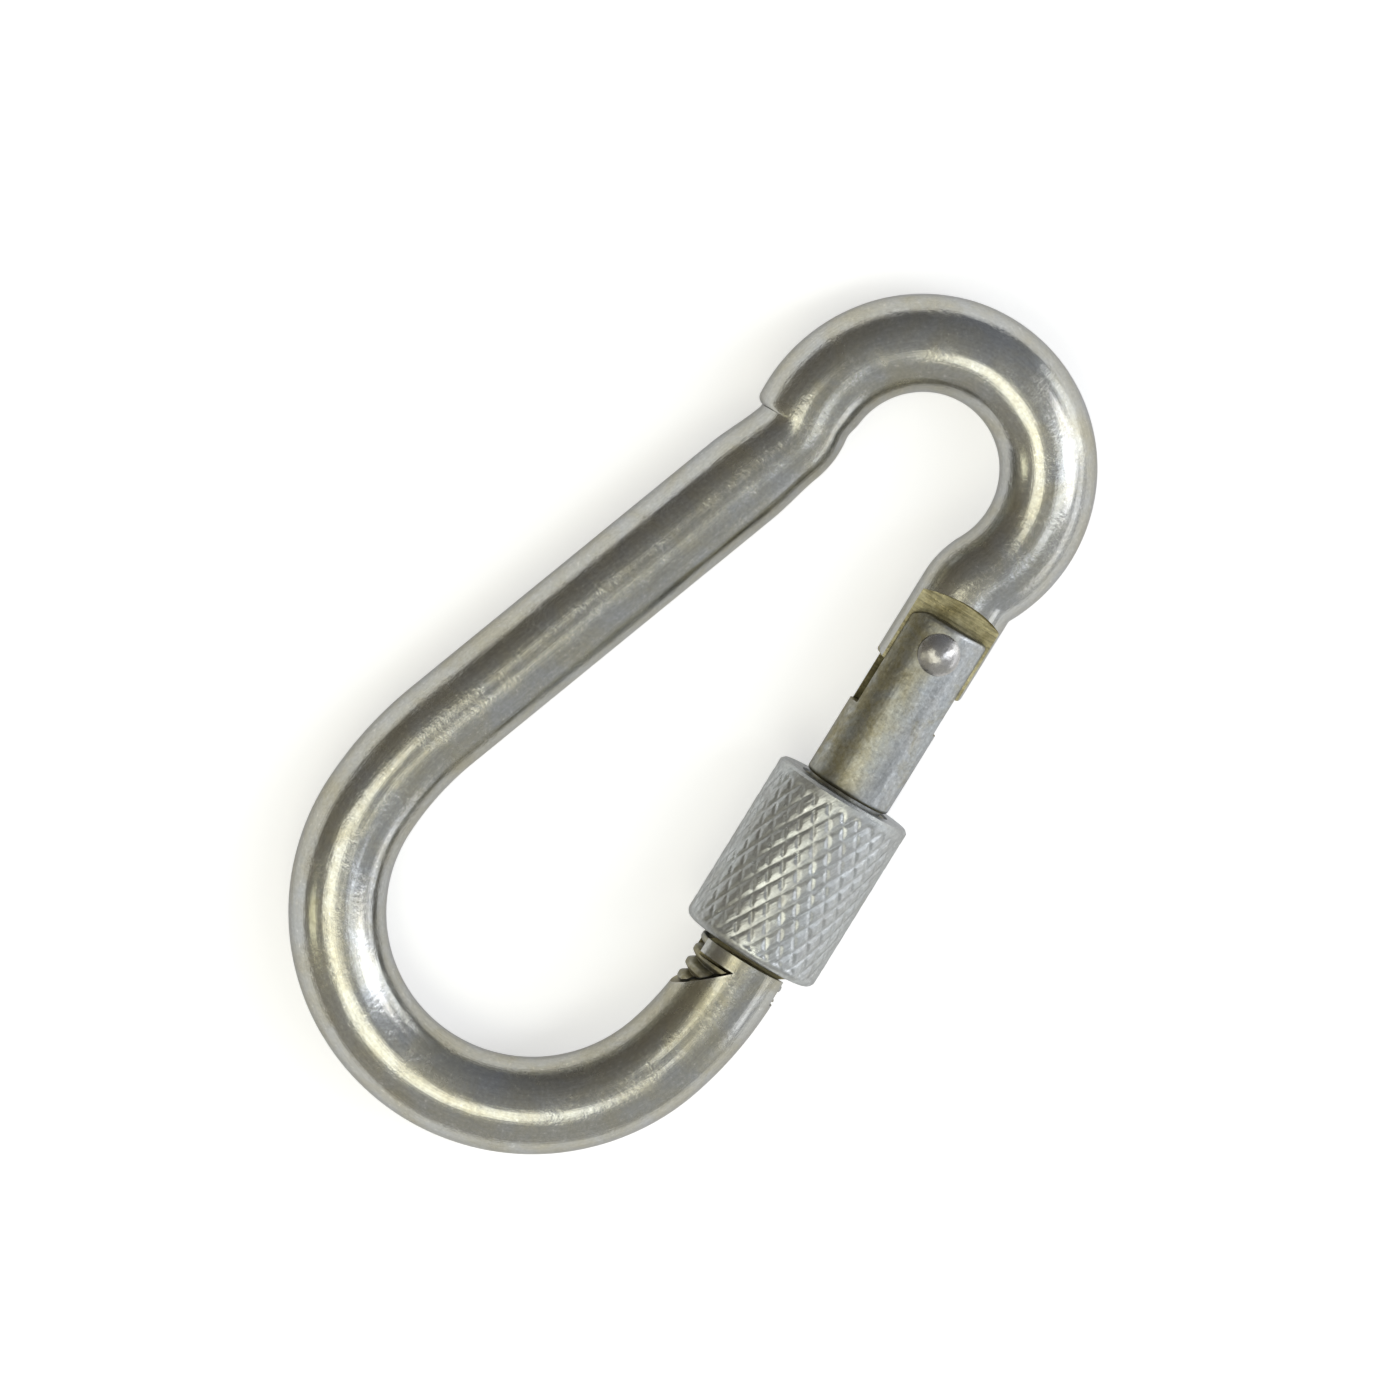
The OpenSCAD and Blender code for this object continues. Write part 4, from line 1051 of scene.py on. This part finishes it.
class CARABINER_OT_stage(bpy.types.Operator):
    """Lay the floor, hang the lamps and set up the camera"""

    bl_idname = "carabiner.stage"
    bl_label = "Stage"

    def floor(self, stage):
        """A white floor on which the carabiner lies."""
        half = stage.floor_size / 2
        made = shape("floor", [(-half, -half, 0), (half, -half, 0), (half, half, 0), (-half, half, 0)],
                     [(0, 1, 2, 3)])
        # The carabiner rests on its nut and the far side of its loop, so the floor leans a little.
        placed(made, Matrix.Translation(Vector(FLOOR_AT) * MM) @ Matrix.Rotation(stage.floor_lean, 4, "Y"))
        material = bpy.data.materials.new("Matt white studio floor")
        material.use_nodes = True
        tree = material.node_tree
        tree.nodes.clear()
        # The white comes from the floor's own glow where it is seen or mirrored. Its paper keeps the
        # shadow.
        ray = add(tree, "ShaderNodeLightPath").outputs
        seen = add(tree, MATH, {"operation": "MAXIMUM"}, {0: ray["Is Camera Ray"], 1: ray["Is Glossy Ray"]})
        shows = add(tree, MATH, {"operation": "MAXIMUM"}, {
            0: seen.outputs[0], 1: ray["Is Transmission Ray"]})
        glow = add(tree, MATH, {"operation": "MULTIPLY"}, {0: shows.outputs[0], 1: stage.floor_glow})
        paper = add(tree, "ShaderNodeBsdfDiffuse", {}, {"Color": (0.8, 0.8, 0.8, 1)})
        light = add(tree, "ShaderNodeEmission", {}, {"Color": (1, 1, 1, 1), "Strength": glow.outputs[0]})
        both = add(tree, "ShaderNodeAddShader", {}, {0: paper.outputs[0], 1: light.outputs[0]})
        add(tree, "ShaderNodeOutputMaterial", {}, {"Surface": both.outputs[0]})
        made.data.materials.clear()
        made.data.materials.append(material)

    def from_camera(self, bearing):
        """The world direction of a bearing given as the camera's right, up and back."""
        return (CAMERA_AXES @ Vector(bearing)).normalized()

    def lamp(self, name, bearing, width, height, roll, colour, brightness):
        """A softbox that faces the loop; its brightness is 1 where a mirror of it would show as white."""
        data = bpy.data.lights.new(name, "AREA")
        data.shape = "RECTANGLE"
        data.size, data.size_y = width, height
        data.color = colour
        data.energy = brightness * math.pi * width * height
        back = self.from_camera(bearing)
        across = self.from_camera((math.cos(math.radians(roll)), math.sin(math.radians(roll)), 0))
        across = (across - back * across.dot(back)).normalized()
        turn = Matrix((across, back.cross(across), back)).transposed().to_4x4()
        made = bpy.data.objects.new(name, data)
        made.matrix_world = Matrix.Translation(Vector(TARGET) * MM + back * LAMP_FAR) @ turn
        bpy.context.scene.collection.objects.link(made)

    def world(self):
        """A dim studio, cool towards the picture's right and warm towards its left and foot."""
        world = bpy.data.worlds.new("Studio")
        world.use_nodes = True
        tree = world.node_tree
        tree.nodes.clear()
        place = add(tree, "ShaderNodeTexCoord").outputs["Generated"]

        def wash(bearing, low, high):
            """A colour that changes from behind a bearing to the bearing itself."""
            facing = add(tree, VECTOR_MATH, {"operation": "DOT_PRODUCT"},
                         {0: place, 1: self.from_camera(bearing)}).outputs["Value"]
            part = add(tree, MAP_RANGE, {}, {"Value": facing, "From Min": -1.0, "From Max": 1.0})
            mixed = add(tree, "ShaderNodeMix", {"data_type": "RGBA"}, {
                "Factor": part.outputs[0], 6: (*low, 1), 7: (*high, 1)})
            return mixed.outputs[2]

        both = add(tree, VECTOR_MATH, {}, {
            0: wash((1, 0, 0), (0.105, 0.085, 0.055), (0.26, 0.28, 0.32)),
            1: wash((0, -1, 0), (0, 0, 0), (0.40, 0.40, 0.37))})
        sky = add(tree, "ShaderNodeBackground", {}, {"Color": both.outputs[0], "Strength": 1.0})
        add(tree, "ShaderNodeOutputWorld", {}, {"Surface": sky.outputs[0]})
        bpy.context.scene.world = world

    def camera(self, stage):
        """From above the face of the loop, with the small bow towards the upper right of the picture."""
        target = Vector(TARGET) * MM
        data = bpy.data.cameras.new("Camera")
        data.sensor_width = 36
        data.lens = data.sensor_width * stage.camera_far / stage.view_width
        data.clip_start, data.clip_end = 0.05, 20
        made = bpy.data.objects.new("Camera", data)
        back = self.from_camera((0, 0, 1))
        made.matrix_world = Matrix.Translation(target + back * stage.camera_far) @ CAMERA_AXES.to_4x4()
        bpy.context.scene.collection.objects.link(made)
        bpy.context.scene.camera = made

    def execute(self, context):
        scene = context.scene
        stage = scene.carabiner_stage
        scene.view_settings.view_transform = "Standard"
        self.floor(stage)
        self.world()
        for lamp in LAMPS:
            self.lamp(*lamp)
        self.camera(stage)
        return {"FINISHED"}


OPERATORS = (
    CARABINER_OT_hook_bar,
    CARABINER_OT_gate,
    CARABINER_OT_hinge_rivet,
    CARABINER_OT_lock_nut,
    CARABINER_OT_closing_parts,
    CARABINER_OT_stage,
)


class CARABINER_PT_pieces(bpy.types.Panel):
    bl_idname = "CARABINER_PT_pieces"
    bl_label = "Carabiner"
    bl_space_type = "VIEW_3D"
    bl_region_type = "UI"
    bl_category = "Carabiner"

    def draw(self, context):
        layout_box = self.layout
        for name in GROUPS:
            box = layout_box.box()
            group = getattr(context.scene, name)
            for prop in group.bl_rna.properties:
                if prop.identifier not in ("rna_type", "name"):
                    box.prop(group, prop.identifier)
        for operator in OPERATORS:
            layout_box.operator(operator.bl_idname)


CLASSES = (*GROUPS.values(), *OPERATORS, CARABINER_PT_pieces)


def register():
    for cls in CLASSES:
        bpy.utils.register_class(cls)
    for name, group in GROUPS.items():
        setattr(bpy.types.Scene, name, PointerProperty(type=group))


def unregister():
    for name in GROUPS:
        delattr(bpy.types.Scene, name)
    for cls in reversed(CLASSES):
        bpy.utils.unregister_class(cls)


def main():
    register()
    for operator in OPERATORS:
        family, name = operator.bl_idname.split(".")
        getattr(getattr(bpy.ops, family), name)()


if __name__ == "__main__":
    main()
